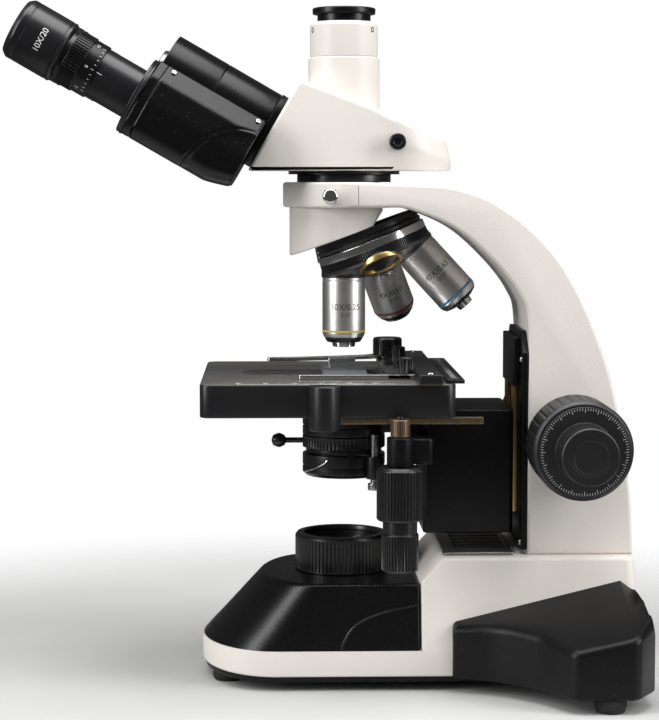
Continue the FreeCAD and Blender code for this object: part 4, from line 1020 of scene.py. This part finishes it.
fit(joined("objective_noses", *noses), "turret", nose_black, "anodised")
fit(joined("objective_tips", *tips), "turret",
    metal("tip_chrome", (0.70, 0.70, 0.70), 0.15, 0.000002), "chrome")
seat, way = port(1)
lip = rounded([(10.2, -2.5, 0.2), (13.0, -2.5, 0.4), (13.0, 0.8, 0.5), (10.9, 0.9, 0.3),
               (10.2, 0.1, 0.2)])
fit(lathe("empty_port_lip", lip, seat, way, 96), "turret", brass, "brass")

# ---- Head casting ----
# The white prism housing.  It turns on a black dovetail disc; its slanted face takes the
# binocular head and its top takes the camera tube.

HEAD_HALF, HEAD_LOW, HEAD_ROUND = 33.0, 290.0, 28.4
HEAD_TOP, CREST_START, CREST_FALL, CREST_BACK = 340.8, -25.7, 0.378, 16.2
dovetail = rounded([(14, 272, 0.2), (20.3, 272, 0.3), (20.3, 288.4, 0), (31.6, 288.4, 0.3),
                    (32, 290, 0.2), (14, 290, 0.2)])
fit(lathe("dovetail_disc", dovetail, sides=96), "head", black_anodised, "anodised",
    "head_dovetail")


def head_outline(y):
    """The head seen from the side at depth y; its rear is a circle in plan, and the crest of
    the sloping roof follows it round."""
    rear = HEAD_ROUND + math.sqrt(max(0.0, HEAD_HALF ** 2 - y * y))
    crest = rear - CREST_BACK
    high = HEAD_TOP - CREST_FALL * (crest - CREST_START)
    return rounded([(-55, HEAD_LOW + 0.02, 0.8), (rear - 0.4, HEAD_LOW + 0.02, 0.8),
                    (rear, high - 19.3, 6), (rear - 2.9, high - 7, 6), (crest, high, 14),
                    (CREST_START, HEAD_TOP, 3.2)])


fit(layers("head_casting", head_outline, HEAD_HALF, 2.2, 41), "head", white_paint,
    "white_paint", "head_housing")
fit(lathe("seam", hoop(26, 32.4, 288.1, 288.5), sides=96), "head", black_anodised, "anodised")

INCLINE = math.radians(30)
ALONG = np.array((-math.cos(INCLINE), 0, math.sin(INCLINE)))
UPWARD = np.array((math.sin(INCLINE), 0, math.cos(INCLINE)))
TILTED = facing(UPWARD, (0, 1, 0), ALONG)
HUB_UP, HUB_WIDE, TUBE_UP, TUBE_OUT = 248.6, 22.2, 229.1, 32.0
tube_black = anodised("tube_black", ALONG)
plate = box_loop(226, -31, 270.8, 31, 14, 8)
fit(slab("binocular_plate", plate, 192.7, 196.8, 0.6, TILTED), "head", black_paint,
    "black_paint", "head_faceplate")
axle = rounded([(0, 186, 0), (5, 186, 0), (5, 264.1, 0), (12, 264.1, 0.3), (11, 267.2, 0.8),
                (4, 267.2, 0.3), (3.6, 266.4, 0.2), (0, 266.4, 0)], closed=False)
hub_seat = HUB_UP * UPWARD
fit(lathe("hub_pin", axle, hub_seat, ALONG, 64), "head",
    metal("hub_steel", (0.2, 0.2, 0.2), 0.3, 0.000004, ALONG), "steel", "hub_axle")

# ---- Camera tube, dust cap and beam lever ----
# A white sleeve with a screwed collar stands on the head, closed by a black cap; the black
# knob at the side pulls the prism out of the beam.

sleeve = rounded([(15.1, 322.2, 0.2), (20.4, 322.2, 0.2), (20.4, 354.0, 0.5), (18.9, 354.3, 0),
                  (18.9, 354.8, 0), (19.4, 355.0, 0.4), (19.4, 372.6, 0.8), (17.8, 374.5, 0.5),
                  (15.1, 374.5, 0.3)])
fit(lathe("camera_sleeve", sleeve, sides=96), "head", white_paint, "white_paint",
    "trinocular_tube")
set_screws = [lathe("socket", rounded([(0, -0.6, 0), (1.7, -0.6, 0), (1.7, 0.05, 0.2),
                                       (0.9, 0.05, 0), (0.9, -0.5, 0), (0, -0.5, 0)],
                                      closed=False),
                    (19.35 * math.sin(turn), -19.35 * math.cos(turn), 369.6),
                    (math.sin(turn), -math.cos(turn), 0), 24) for turn in (-1.2, 0.95, 3.1)]
fit(joined("collar_set_screws", *set_screws), "head", nose_black, "steel")
cap = rounded([(0, 366, 0), (14.9, 366, 0.4), (14.9, 374.9, 0), (15.2, 374.9, 0),
               (15.2, 378.9, 0.2), (17.9, 378.9, 0.5), (18, 382.2, 0.7), (16.6, 382.6, 0.3),
               (15.8, 382.1, 0.3), (0, 382.1, 0)], closed=False)
fit(lathe("port_cap", cap, sides=96), "dust_cap", cover_black, "black_plastic", "dust_cap")
lever_seat = (28.7, 0, 306.2)
lever = rounded([(0, 14, 0), (1.5, 14, 0), (1.5, 33.2, 0), (4.7, 33.2, 0.3), (4.7, 40.2, 0.9),
                 (2.4, 40.6, 0.3), (2.0, 39.4, 0.2), (0, 39.4, 0)], closed=False)
fit(lathe("beam_knob", lever, lever_seat, (0, -1, 0), 48), "light_path_rod", nose_black,
    "black_plastic", "light_path_rod")

# ---- Binocular wings ----
# Two black castings swing about one hub, which keeps the eyetubes parallel.  A flat plate
# with two screws faces outwards, and a knuckle bulges at the lower rear.

WING_REAR, WING_SEAM, WING_FRONT = 197.1, 231.5, 263.9
KNUCKLE_REAR, KNUCKLE_LONG, KNUCKLE_LOW, KNUCKLE_TALL = 190.0, 36.5, 203.0, 42.0
KNUCKLE_POWER, KNUCKLE_RISE = 2.3, 1.1


def wing(name, side):
    """A section of the wing, square to the tube, carried from rear to front; the knuckle is a
    rounded ellipse raised on its outer face."""
    section = rounded([(252.3, -10, 2), (252.3, -40.5, 2.0), (243, -50.5, 9),
                       (229, -54.6, 14), (206.8, -53, 19), (206.8, -9.7, 15)], steps=14)
    section = dense(section, 1.0)
    along = np.unique(np.concatenate([np.linspace(WING_REAR + 1, WING_FRONT - 1, 140),
                                      WING_FRONT - 1 + np.sin(np.linspace(0, 1.57, 5)),
                                      WING_REAR + 1 - np.sin(np.linspace(0, 1.57, 5))]))
    up, out = section.T
    rows = []
    for a in along:
        edge = max(0.0, abs(a - (WING_REAR + WING_FRONT) / 2)
                   - (WING_FRONT - WING_REAR) / 2 + 1)
        loop = inset(section, 1 - math.sqrt(max(0.0, 1 - edge * edge)))
        reach = (np.clip((a - KNUCKLE_REAR) / KNUCKLE_LONG, 0, None) ** KNUCKLE_POWER
                 + np.clip((up - KNUCKLE_LOW) / KNUCKLE_TALL, 0, None) ** KNUCKLE_POWER
                 ) ** (1 / KNUCKLE_POWER)
        swell = np.clip((1 - reach) / 0.10, 0, 1)
        lip = np.exp(-((reach - 1.0) / 0.018) ** 2) * 0.5
        raise_by = (KNUCKLE_RISE * swell * swell * (3 - 2 * swell) + lip) * (out < -38)
        taper = 0.42 * max(0.0, 212 - a) ** 1.25 * np.clip((226 - up) / 20, 0, 1)
        grooves = 0.5 * math.exp(-((a - 258.6) / 0.35) ** 2)
        loop = inset(loop, -1) * raise_by[:, None] + loop * (1 - raise_by[:, None])
        loop = inset(loop, grooves)
        loop[:, 0] += taper * 0.35
        rows.append(np.column_stack([loop[:, 0], -side * loop[:, 1], np.full(len(loop), a)]))
    return skin(name, TILTED(np.stack(rows)))


# The wing coat carries the painted glint specks of paint(), a little more of them than the black
# coat.
wing_black = paint("wing_black", (0.004, 0.004, 0.0045), 0.24, 0.0007, 0.00008, 0.035, 0.3)
for side, name, low, high in ((-1, "right", WING_REAR + 0.1, WING_SEAM - 0.15),
                              (1, "left", WING_SEAM + 0.15, WING_FRONT)):
    shell = wing("shell", side)
    hub = lathe("hub", hoop(5.1, HUB_WIDE, low, high, 0.1, 0.4), hub_seat, ALONG, 96)
    fit(joined(name + "_wing_casting", shell, hub), name + "_wing", wing_black, "black_paint",
        name + "_wing")
    seat = TILTED((250.2, side * 43.2, 0))
    out = np.array((0, side * 0.73, 0)) + UPWARD * 0.68
    heads = [screw_head(1.5, seat + a * ALONG, out) for a in (254.1, 200.8)]
    fit(joined(name + "_wing_screws", *heads), name + "_wing", bright_steel, "black_paint")

# ---- Eyetubes, diopter rings and eyepieces ----
# Black anodised tubes with a ring that focuses each eye, marked in white from -5 to +5, and
# a wide-field eyepiece of ten times that slides in from above.

white_ink = ink("white_ink", (0.80, 0.80, 0.78))
DIOPTER_LOW, GRIP_LOW, GRIP_HIGH, TUBE_END = 291.7, 300.0, 309.7, 306.3
EYE_LOW, EYE_HIGH, EYE_WIDE = 313.0, 343.0, 17.75
for side, name in ((-1, "right"), (1, "left")):
    seat = TUBE_UP * UPWARD + np.array((0, side * TUBE_OUT, 0))
    toward = (0, side, 0)
    tube_ring = rounded([(11.75, 263.9, 0.2), (22.9, 263.9, 0.3), (22.9, 265.2, 0.2),
                         (22.3, 265.5, 0.2), (22.5, 265.9, 0.2), (22.5, 267.2, 0.5),
                         (14.75, 267.2, 0.3), (14.75, TUBE_END, 0.4), (11.75, TUBE_END, 0.2)])
    fit(lathe(name + "_eyetube", tube_ring, seat, ALONG, 96), name + "_wing", tube_black,
        "anodised", name + "_tube")
    dial = rounded([(14.81, DIOPTER_LOW, 0.1), (15.75, DIOPTER_LOW, 0.3),
                    (15.75, GRIP_LOW - 0.1, 0.1), (16.4, GRIP_LOW + 0.2, 0.3),
                    (16.4, GRIP_LOW + 0.7, 0), (16.4, GRIP_HIGH - 0.7, 0),
                    (16.4, GRIP_HIGH, 0.3), (14.81, GRIP_HIGH, 0.1)])
    fit(lathe(name + "_diopter_dial", dial, seat, ALONG, 56 * 8,
              flutes(56, 0.5, GRIP_LOW + 0.6, GRIP_HIGH - 0.6, 16, 1.5)),
        name + "_diopter", cover_black, "black_plastic", name + "_diopter")
    marks = [(x, 0.4 if index % 5 else 0.75, 0.22, 1.1 if index % 5 else 1.8)
             for index, x in enumerate(np.linspace(-15, 15, 11))]
    put = on_barrel(seat, ALONG, 15.75, DIOPTER_LOW + 1.1, toward)
    scale = [ticks("marks", marks, put)]
    for text, x in (("0", 0), ("+5", 15), ("-5", -15)):
        put = on_barrel(seat, ALONG, 15.75, DIOPTER_LOW + 5.3, toward)
        shifted = (lambda points, place=put, by=x: place(np.asarray(points) + (by, 0, 0)))
        scale.append(printed("digit", text, 2.6, shifted))
    fit(joined(name + "_diopter_scale", *scale), name + "_diopter", white_ink,
        "black_plastic")
    fit(ticks(name + "_tube_index", [(0, 0, 0.3, 3.4)],
              on_barrel(seat, ALONG, 14.75, DIOPTER_LOW - 2.4, toward)), name + "_wing",
        white_ink, "anodised")
    body = rounded([(8, 286, 0.2), (11.6, 286, 0.3), (11.6, 306.5, 0), (14.4, 306.5, 0.3),
                    (14.4, EYE_LOW - 0.8, 0), (17.0, EYE_LOW, 0.3), (EYE_WIDE, EYE_LOW + 0.8, 0.3),
                    (EYE_WIDE, 315.2, 0.1), (EYE_WIDE - 0.5, 315.4, 0.1),
                    (EYE_WIDE - 0.5, 315.9, 0.1), (EYE_WIDE, 316.1, 0.1),
                    (EYE_WIDE, 336.2, 0.1), (EYE_WIDE - 0.35, 336.4, 0.1),
                    (EYE_WIDE - 0.35, 336.8, 0.1), (EYE_WIDE, 337, 0.2),
                    (EYE_WIDE, 340.2, 2.2), (EYE_WIDE - 2.2, EYE_HIGH, 0.8),
                    (12.8, EYE_HIGH, 0.5), (11.6, 340.4, 0.3), (8, 340.2, 0.2)])
    fit(lathe(name + "_eyepiece_barrel", body, seat, ALONG, 96), name + "_eyepiece",
        tube_black, "black_plastic", name + "_eyepiece")
    fit(lens(name + "_eye_lens", 11.4, 337.6, 339.4, 1.0, seat, ALONG), name + "_eyepiece",
        glass, "glass")
    field = printed(name + "_eyepiece_print", "10X/20", 4.8,
                    on_barrel(seat, ALONG, EYE_WIDE, 325.6, toward))
    fit(field, name + "_eyepiece", white_ink, "black_plastic")

# ---- Stage carrier and focus block ----
# A black casting on the slideway.  It bears the stage and the arm of the travel knobs.

CARRIER_TOP = 155.5
TRAVEL_SEAT = (28, -80, 0)
for name, low, high, nodes in (
        ("block", (44, -33, 85), (95.2, 33, CARRIER_TOP), ("stage_carrier",)),
        ("tongue", (90, -9, 120), (114, 9, 152), ()),
        ("knob_arm", (30, -82, 131), (46, -30, 145), ())):
    fit(bar(name, low, high, 1.2, 3), "stage", black_paint, "black_paint", *nodes)
bush = hoop(3.1, 7.3, 130, 145.7, 0.2, 0.5)
fit(lathe("travel_bush", bush, TRAVEL_SEAT, sides=64), "stage", black_paint, "black_paint")
rack = bar("focus_rack", (112.2, -6, 118), (118.8, 6, 166), 0.2, 0.4)
fit(rack, "stage", bright_steel, "steel")

# ---- Mechanical stage ----
# A fixed lower plate and a sliding top plate with an oblong light opening.  The top is
# enamelled and smooth; its near edge is satin black and carries a white scale.

enamel_finish = Finish("stage_enamel")
grain = enamel_finish.noise(0.0009, 4)
stage_enamel = enamel_finish.surface(
    enamel_finish.blend(grain, (0.13, 0.118, 0.108), (0.16, 0.146, 0.134)), 0.2 + 0.1 * grain,
    Coat_Weight=0.5)
stage_black = anodised("stage_black", (0, 1, 0), rough=0.36)
DECK_LOW, SKIRT_LOW, STAGE_HIGH = 166.2, 155.7, 174.0
STAGE_LEFT, STAGE_RIGHT, STAGE_HALF = -81, 59, 75
lower = box_loop(-50, -52, 47.6, 52, 4)
light_way = np.array([(27 * math.cos(t), 27 * math.sin(t))
                      for t in np.linspace(0, 2 * math.pi, 73)[:-1]])
fit(pierced("guide_plate", lower, light_way, SKIRT_LOW, 165.8, 0.5, FLAT, 0.4), "stage",
    stage_black, "anodised", "stage_lower_plate")
deck = box_loop(STAGE_LEFT, -STAGE_HALF, STAGE_RIGHT, STAGE_HALF, 6, 10)
opening = box_loop(-59, -15, 27, 15, 10, 10)
inner_deck = box_loop(STAGE_LEFT + 0.7, 0.7 - STAGE_HALF, STAGE_RIGHT - 0.7, STAGE_HALF - 0.7,
                      5.3, 10)
fit(pierced("deck_plate", inner_deck, opening, DECK_LOW, STAGE_HIGH, 0.2, FLAT, 0.5), "stage_top",
    stage_enamel, "anodised", "stage_top_plate")
skirt_in = box_loop(STAGE_LEFT + 3, 3 - STAGE_HALF, STAGE_RIGHT - 3, STAGE_HALF - 3, 4, 10)
fit(pierced("deck_skirt", deck, skirt_in, SKIRT_LOW, STAGE_HIGH - 0.15, 0.7, FLAT, 0.2),
    "stage_top", stage_black, "anodised")
boss = rounded([(0, 149.7, 0), (8.4, 149.7, 0.7), (8.4, STAGE_HIGH - 0.1, 0.7),
                (0, STAGE_HIGH - 0.1, 0)], closed=False)
fit(lathe("knob_boss", boss, (-13, -81.5, 0), sides=64), "stage_top", stage_black, "anodised")
fit(bar("boss_root", (-21.4, -81.5, 149.7), (-4.6, -74, STAGE_HIGH - 0.1), 0.5, 1), "stage_top",
    stage_black, "anodised")
fit(bar("ruler_bar", (54.1, -70.9, STAGE_HIGH), (63.9, 70.9, 176.1), 0.3, 0.8), "stage_top",
    stage_black, "anodised")
marks = [(y, 0, 0.18, 2.6 if index % 5 else 4.4)
         for index, y in enumerate(np.arange(-60, 61, 2.0))]
along_bar = facing((0, 1, 0), (-1, 0, 0), (0, 0, 1), (59, 0, 176.12))
edge_marks = [(x, -1.6 if index % 5 else -1.0, 0.5, 2.6 if index % 5 else 4.0)
              for index, x in enumerate(np.arange(-60, 26, 1.5))]
along_edge = facing((1, 0, 0), (0, 1, 0), (0, 0, 1), (0, -70.6, 174.03))
scales = [ticks("bar_marks", marks, along_bar), ticks("edge_marks", edge_marks, along_edge)]
for index, x in enumerate(np.arange(-60, 26, 15)):
    spot = facing((1, 0, 0), (0, 1, 0), (0, 0, 1), (x, -66.4, 174.03))
    scales.append(printed("figure", str(80 + 15 * index), 3.0, spot))
fit(joined("stage_scales", *scales), "stage_top", white_ink, "anodised")

# ---- Cross travel: rack, pinion and the two coaxial knobs ----
# A brass rack under the near edge meets a brass pinion; two fluted black knobs hang below.

RACK_PITCH, RACK_LOW, RACK_HIGH = 1.3, 152.1, 155.55
rack_bronze = metal("rack_bronze", (0.36, 0.27, 0.18), 0.36, 0.000006, (1, 0, 0))
teeth = []
for place in np.arange(-3.9, 74 - 1.4, RACK_PITCH):
    teeth += [(place, -74.2, 0), (place + RACK_PITCH * 0.5, -74.2, 0),
              (place + RACK_PITCH * 0.65, -73.2, 0), (place + RACK_PITCH * 0.9, -73.2, 0)]
teeth += [(73.9, -73.6, 0), (73.9, -68.1, 0.2), (-3.9, -68.1, 0.2)]
fit(slab("travel_rack", rounded(teeth), RACK_LOW, RACK_HIGH, 0.1, FLAT), "stage_top",
    rack_bronze, "brass", "stage_rack")
pinion = hoop(3.05, 5.3, 146.1, 155.4, 0.1, 0.3)
fit(lathe("travel_pinion", pinion, TRAVEL_SEAT, sides=32 * 8,
          relief=flutes(32, 0.45, 146.5, 155.0, 5.0, 1.2)), "x_travel_knob", rack_bronze, "brass")
x_knob = rounded([(2.1, 100.4, 0.2), (12.0, 100.4, 0.4), (12.8, 101.4, 0.3),
                  (12.8, 127.8, 0.4), (11.4, 129.7, 0.4), (3.0, 129.7, 0.2),
                  (3.0, 146.0, 0), (2.1, 146.0, 0)])
fit(lathe("cross_knob", x_knob, TRAVEL_SEAT, sides=44 * 8,
          relief=flutes(44, 0.45, 101.6, 127.6, 12, 1.5)), "x_travel_knob", black_anodised,
    "anodised", "x_travel_knob")
y_knob = rounded([(0, 72.3, 0), (9.5, 72.3, 0.6), (10.2, 73.3, 0.3), (10.2, 92.6, 0.4),
                  (9.4, 93.4, 0.2), (9.4, 100.1, 0.2), (1.9, 100.1, 0), (1.9, 156.9, 0.1),
                  (0, 156.9, 0)], closed=False)
fit(lathe("along_knob", y_knob, TRAVEL_SEAT, sides=40 * 8,
          relief=flutes(40, 0.45, 73.6, 92.4, 9.8, 1.5)), "y_travel_knob", black_anodised,
    "anodised", "y_travel_knob")

# ---- Slide carriage, holder, finger and slide ----
# A black bar with bright edges rides on the deck.  A bright holder frames the glass slide
# and a curved spring finger under a knurled knob presses it home.

holder_bright = metal("holder_bright", (0.62, 0.62, 0.61), 0.2, 0.000005, (0, 1, 0))
bronze = metal("bronze_strip", (0.34, 0.24, 0.15), 0.3, 0.000006, (0, 1, 0))
fit(bar("carriage_bar", (38.1, -84.9, 174.9), (50.9, 79.9, 179.9), 0.4, 0.8),
    "slide_carriage", stage_black, "anodised", "slide_carriage")
fit(bar("carriage_gib", (38.4, -84.4, 174.4), (50.6, -40, 174.95), 0.1, 0.4),
    "slide_carriage", bronze, "anodised")
fit(bar("holder_plate", (22.1, -46.9, 174.4), (39, 69.9, 176.7), 0.3, 1.2), "slide_carriage",
    holder_bright, "steel", "slide_holder")
fit(bar("holder_jaw", (-26.9, -46.9, 174.4), (37, -42.1, 176.7), 0.3, 1.5), "slide_carriage",
    holder_bright, "steel")
thumb = rounded([(0, 176.1, 0), (3.3, 176.1, 0.2), (3.9, 177.2, 0.3), (3.9, 185.8, 0.4),
                 (3.2, 186.4, 0.3), (0, 186.4, 0)], closed=False)
thumbs = [lathe("thumb", thumb, (33.5, y, 0), sides=24 * 6,
                relief=flutes(24, 0.3, 177.4, 185.6, 3.6, 1.4)) for y in (-43, 30)]
fit(joined("holder_screws", *thumbs), "slide_carriage", nose_black, "black_plastic")
ends = [screw_head(1.8, (44.5, y, 179.7), (0, 0, 1)) for y in (-78, 72)]
fit(joined("carriage_screws", *ends), "slide_carriage", bright_steel, "steel")
fit(bar("slide_glass", (-12.7, -41.7, 174.35), (12.7, 34.5, 175.35), 0.1, 0.6),
    "slide_carriage", glass, "glass", "specimen_slide")
blade = rounded([(30, 64, 1), (22, 52, 14), (-2, 45, 14), (-30, 37.5, 20), (-44, 37.5, 1.5),
                 (-44.6, 41.6, 1.5), (-30, 42.6, 20), (-4, 51, 20), (14, 58, 14),
                 (22, 68, 1.5)], steps=8)
fit(slab("finger_blade", blade, 177.1, 179.3, 0.3, FLAT), "spring_finger", holder_bright,
    "steel", "spring_finger")
fit(bar("finger_lip", (-8, 35, 174.5), (8, 37.9, 179.3), 0.3, 0.6), "spring_finger",
    holder_bright, "steel")
finger_knob = rounded([(0, 177.1, 0), (8.2, 177.1, 0.2), (8.8, 178.4, 0.4), (8.8, 188.4, 0.6),
                       (7.9, 189.5, 0.5), (0, 189.5, 0)], closed=False)
fit(lathe("finger_knob", finger_knob, (28.6, 62, 0), sides=36 * 8,
          relief=flutes(36, 0.45, 178.6, 188.2, 8.4, 1.5)), "spring_finger", nose_black,
    "black_plastic")

# ---- Condenser with iris and filter holder ----
# A black focusing condenser below the stage.  Its iris is worked by a ball lever, and the
# filter holder with its glass swings out under it.

cone_body = rounded([(9.3, 128.1, 0.2), (21.9, 128.1, 0.3), (21.9, 130.5, 0.3),
                     (19.5, 130.6, 0), (19.5, 138.4, 0), (23.9, 138.5, 0.5),
                     (23.9, 143, 0.1), (23.3, 143.3, 0.1), (23.3, 144, 0.1), (23.9, 144.3, 0.1),
                     (23.9, 150.9, 0.8), (11, 164.4, 0.6), (9.3, 164.4, 0.2)])
fit(lathe("condenser_body", cone_body, sides=96), "condenser", black_anodised, "anodised",
    "condenser")
fit(bar("condenser_arm", (20, -11.9, 140.1), (57.6, 11.9, 149.9), 0.6, 2), "condenser",
    black_anodised, "anodised")
fit(lens("condenser_lens", 9.2, 160.2, 163.6, 1.2, (0, 0, 0), (0, 0, 1)), "condenser", glass,
    "glass")
pivot = rounded([(0, 108.1, 0), (3.9, 108.1, 0.4), (3.9, 112.0, 0.3), (2.4, 112.1, 0),
                 (2.4, 140, 0), (0, 140, 0)], closed=False)
PIVOT_SEAT = (17, -20.5, 0)
fit(lathe("filter_pivot", pivot, PIVOT_SEAT, sides=40), "condenser", bright_steel, "steel")
iris = hoop(19.9, 23.9, 131.0, 138.0, 0.2, 0.4)
fit(lathe("iris_control", iris, sides=60 * 6, relief=flutes(60, 0.35, 131.6, 137.4, 23, 1.4)),
    "iris_ring", black_anodised, "anodised", "iris_ring")
stem = rounded([(0, 21.5, 0), (1.6, 21.5, 0), (1.6, 33.6, 0.3), (3.0, 34.4, 1.4),
                (4.45, 37.5, 3.2), (3.0, 41.2, 2.4), (0, 42.0, 1)], closed=False)
fit(lathe("iris_lever", stem, (0, 0, 134.5), (-1, 0, 0), 40, toward=(0, 0, 1)), "iris_ring",
    nose_black, "anodised")
holder = rounded([(18.1, 114.6, 0.3), (21.6, 114.6, 0.4), (23.9, 116.6, 0.8),
                  (23.9, 119.8, 0.1), (23.4, 120.1, 0.1), (23.4, 120.8, 0.1),
                  (23.9, 121.1, 0.1), (23.9, 127.5, 0.4), (20.3, 127.5, 0.2),
                  (20.3, 123.5, 0), (18.1, 123.5, 0.2)])
fit(lathe("filter_ring", holder, sides=96), "filter_holder", black_anodised, "anodised",
    "filter_holder")
ear = hoop(4.1, 4.9, 114.6, 127.5, 0.2, 0.2)
fit(lathe("filter_ear", ear, PIVOT_SEAT, sides=40), "filter_holder", black_anodised,
    "anodised")
clip_line = smooth_line([(-22.6, -9.4, 117.5), (-20.6, -13.2, 118.6), (-16.2, -18.4, 120.8),
                         (-12.0, -21.4, 123.4), (-10.0, -22.5, 125.6)], 25)
fit(tube("filter_clip", clip_line, 0.55, 10), "filter_holder", bright_steel, "steel")
filter_glass = rounded([(0, 123.7, 0), (19.8, 123.7, 0.2), (19.8, 125.5, 0.2),
                        (0, 125.5, 0)], closed=False)
fit(lathe("filter_disc", filter_glass, sides=72), "filter_holder", glass, "glass")
knob = rounded([(0, 33.4, 0), (8.2, 33.4, 0.3), (8.9, 34.2, 0.3), (8.9, 47.2, 0.5),
                (8.0, 47.9, 0.3), (0, 47.9, 0)], closed=False)
fit(lathe("condenser_focus_knob", knob, (62, 0, 120), (0, 1, 0), 36 * 8,
          flutes(36, 0.4, 34.6, 46.8, 8.5, 1.5)), "condenser_knob", cover_black,
    "black_plastic", "condenser_knob")

# ---- Coaxial focus knobs ----
# Broad-fluted black coarse knobs at both sides, each with a finely graduated disc and a small
# fluted fine knob outside it; a collar on the right sets the tension.

DRIVE = np.array((127.2, 0, 138.5))
SCALE_MARKS = 100
knob_black = anodised("knob_black", (0, 1, 0), rough=0.42)
coarse, fine, graduation = [], [], []
for side in (-1, 1):
    axis = (0, side, 0)
    profile = rounded([(8.2, 50.4, 0.4), (26.4, 50.4, 0.8), (27.4, 51.6, 0.5),
                       (27.4, 85.6, 1.2), (25.6, 87.5, 1.0), (8.2, 87.5, 0.4)])
    coarse.append(lathe("coarse", profile, DRIVE, axis, 30 * 12,
                        flutes(30, 0.8, 52.2, 85.0, 26.6, 2.2)))
    profile = rounded([(5.2, 88.0, 0.2), (24.6, 88.0, 0.3), (24.6, 90.4, 0.5),
                       (15.9, 90.4, 0.5), (15.7, 112.2, 0.8), (14.9, 112.9, 0.4),
                       (10.4, 112.9, 0.2), (10.3, 112.5, 0.1), (5.2, 112.5, 0.3)])
    fine.append(lathe("fine", profile, DRIVE, axis, 60 * 8,
                      flutes(60, 0.35, 92.0, 111.6, 15, 1.4)))
    profile = rounded([(0, 111.0, 0), (10.2, 111.0, 0.2), (10.2, 112.7, 0.4),
                       (9.2, 112.8, 0.1), (8.8, 112.65, 0.1), (0, 112.65, 0)], closed=False)
    fine.append(lathe("disc", profile, DRIVE, axis, 72))
    for index in range(SCALE_MARKS):
        turn = 2 * math.pi * index / SCALE_MARKS
        out = np.array((math.cos(turn), 0, math.sin(turn)))
        mark = (23.3, 0, 1.3, 0.2) if index % 5 else (22.7, 0, 2.4, 0.2)
        graduation.append(ticks("mark", [mark], facing(
            out, np.cross(axis, out), axis, DRIVE + (0, side * 90.42, 0))))
fit(joined("coarse_focus_knobs", *coarse), "coarse_knobs", knob_black, "black_plastic",
    "coarse_knobs")
fit(joined("fine_focus_knobs", *fine), "fine_knobs", knob_black, "black_plastic",
    "fine_knobs")
fit(joined("fine_graduation", *graduation), "fine_knobs", white_ink, "black_plastic")
collar = rounded([(9, 40.2, 0.3), (20, 40.2, 0.5), (21, 49.9, 0.6), (9, 49.9, 0.3)])
fit(lathe("tension_ring", collar, DRIVE, (0, -1, 0), 48 * 8,
          flutes(48, 0.4, 41, 49, 19.5, 1.5)), "tension_collar", knob_black, "black_plastic",
    "tension_collar")
collar = rounded([(9, 40.1, 0.3), (19.9, 40.1, 0.5), (19.9, 49.9, 0.6), (9, 49.9, 0.3)])
fit(lathe("stop_ring", collar, DRIVE, (0, 1, 0), 96), "stand", knob_black, "black_plastic",
    "stop_collar")

# ---- Mains inlet, switch and brightness dial ----
# Moulded black fittings at the back, and a fluted dial for the lamp at the left of the base.

AT_BACK = facing((0, 1, 0), (0, 0, 1), (1, 0, 0))
socket = box_loop(8.4, 30.4, 35.6, 49.6, 2)
well = box_loop(10.5, 32.5, 33.5, 47.5, 1.5)
fit(pierced("inlet_frame", socket, well, 146, 164.4, 0.5, AT_BACK, 0.4), "stand", cover_black,
    "black_plastic", "power_inlet")
fit(slab("inlet_floor", well, 146, 149, 0.1, AT_BACK), "stand", cover_black, "black_plastic")
pins = [bar("pin", (148, y - 0.9, z - 2.4), (162, y + 0.9, z + 2.4), 0.3, 0.5)
        for y, z in ((16, 38), (22, 42), (28, 38))]
fit(joined("inlet_pins", *pins), "stand", bright_steel, "steel")
rocker = rounded([(-5.8, 153.5, 0.3), (5.8, 153.5, 0.3), (5.8, 164.2, 0.6),
                  (0, 163.2, 2), (-5.8, 162.6, 0.6)])
along_rocker = facing((0, 0, 1), (1, 0, 0), (0, -1, 0), (0, 0, 40))
fit(slab("rocker", rocker, 13.2, 30.8, 0.4, along_rocker), "power_switch", cover_black,
    "black_plastic", "power_switch")
dial = rounded([(0, 57.1, 0), (7.4, 57.1, 0.3), (7.9, 58.0, 0.3), (7.9, 65.2, 0.6),
                (7.2, 65.9, 0.3), (0, 65.9, 0)], closed=False)
fit(lathe("lamp_dial", dial, (49.5, 0, 48), (0, 1, 0), 32 * 8,
          flutes(32, 0.4, 58.4, 64.8, 7.5, 1.5)), "brightness_dial", cover_black,
    "black_plastic", "brightness_dial")

# ---- Inner pieces ----
# The lamp module and the folding mirror keep their plain shapes inside the base.

mirror_finish = Finish("mirror_glass")
haze = mirror_finish.noise(0.004, 3)
mirror_glass = mirror_finish.surface(
    mirror_finish.blend(haze, (0.86, 0.87, 0.88), (0.92, 0.93, 0.94)), 0.02 + 0.03 * haze,
    Metallic=1.0)
for node, finish in (("lamp_module", cover_black), ("mirror", mirror_glass)):
    kept = frame["nodes"][node]
    for slot in kept.material_slots:
        slot.link = "OBJECT"
        slot.material = finish
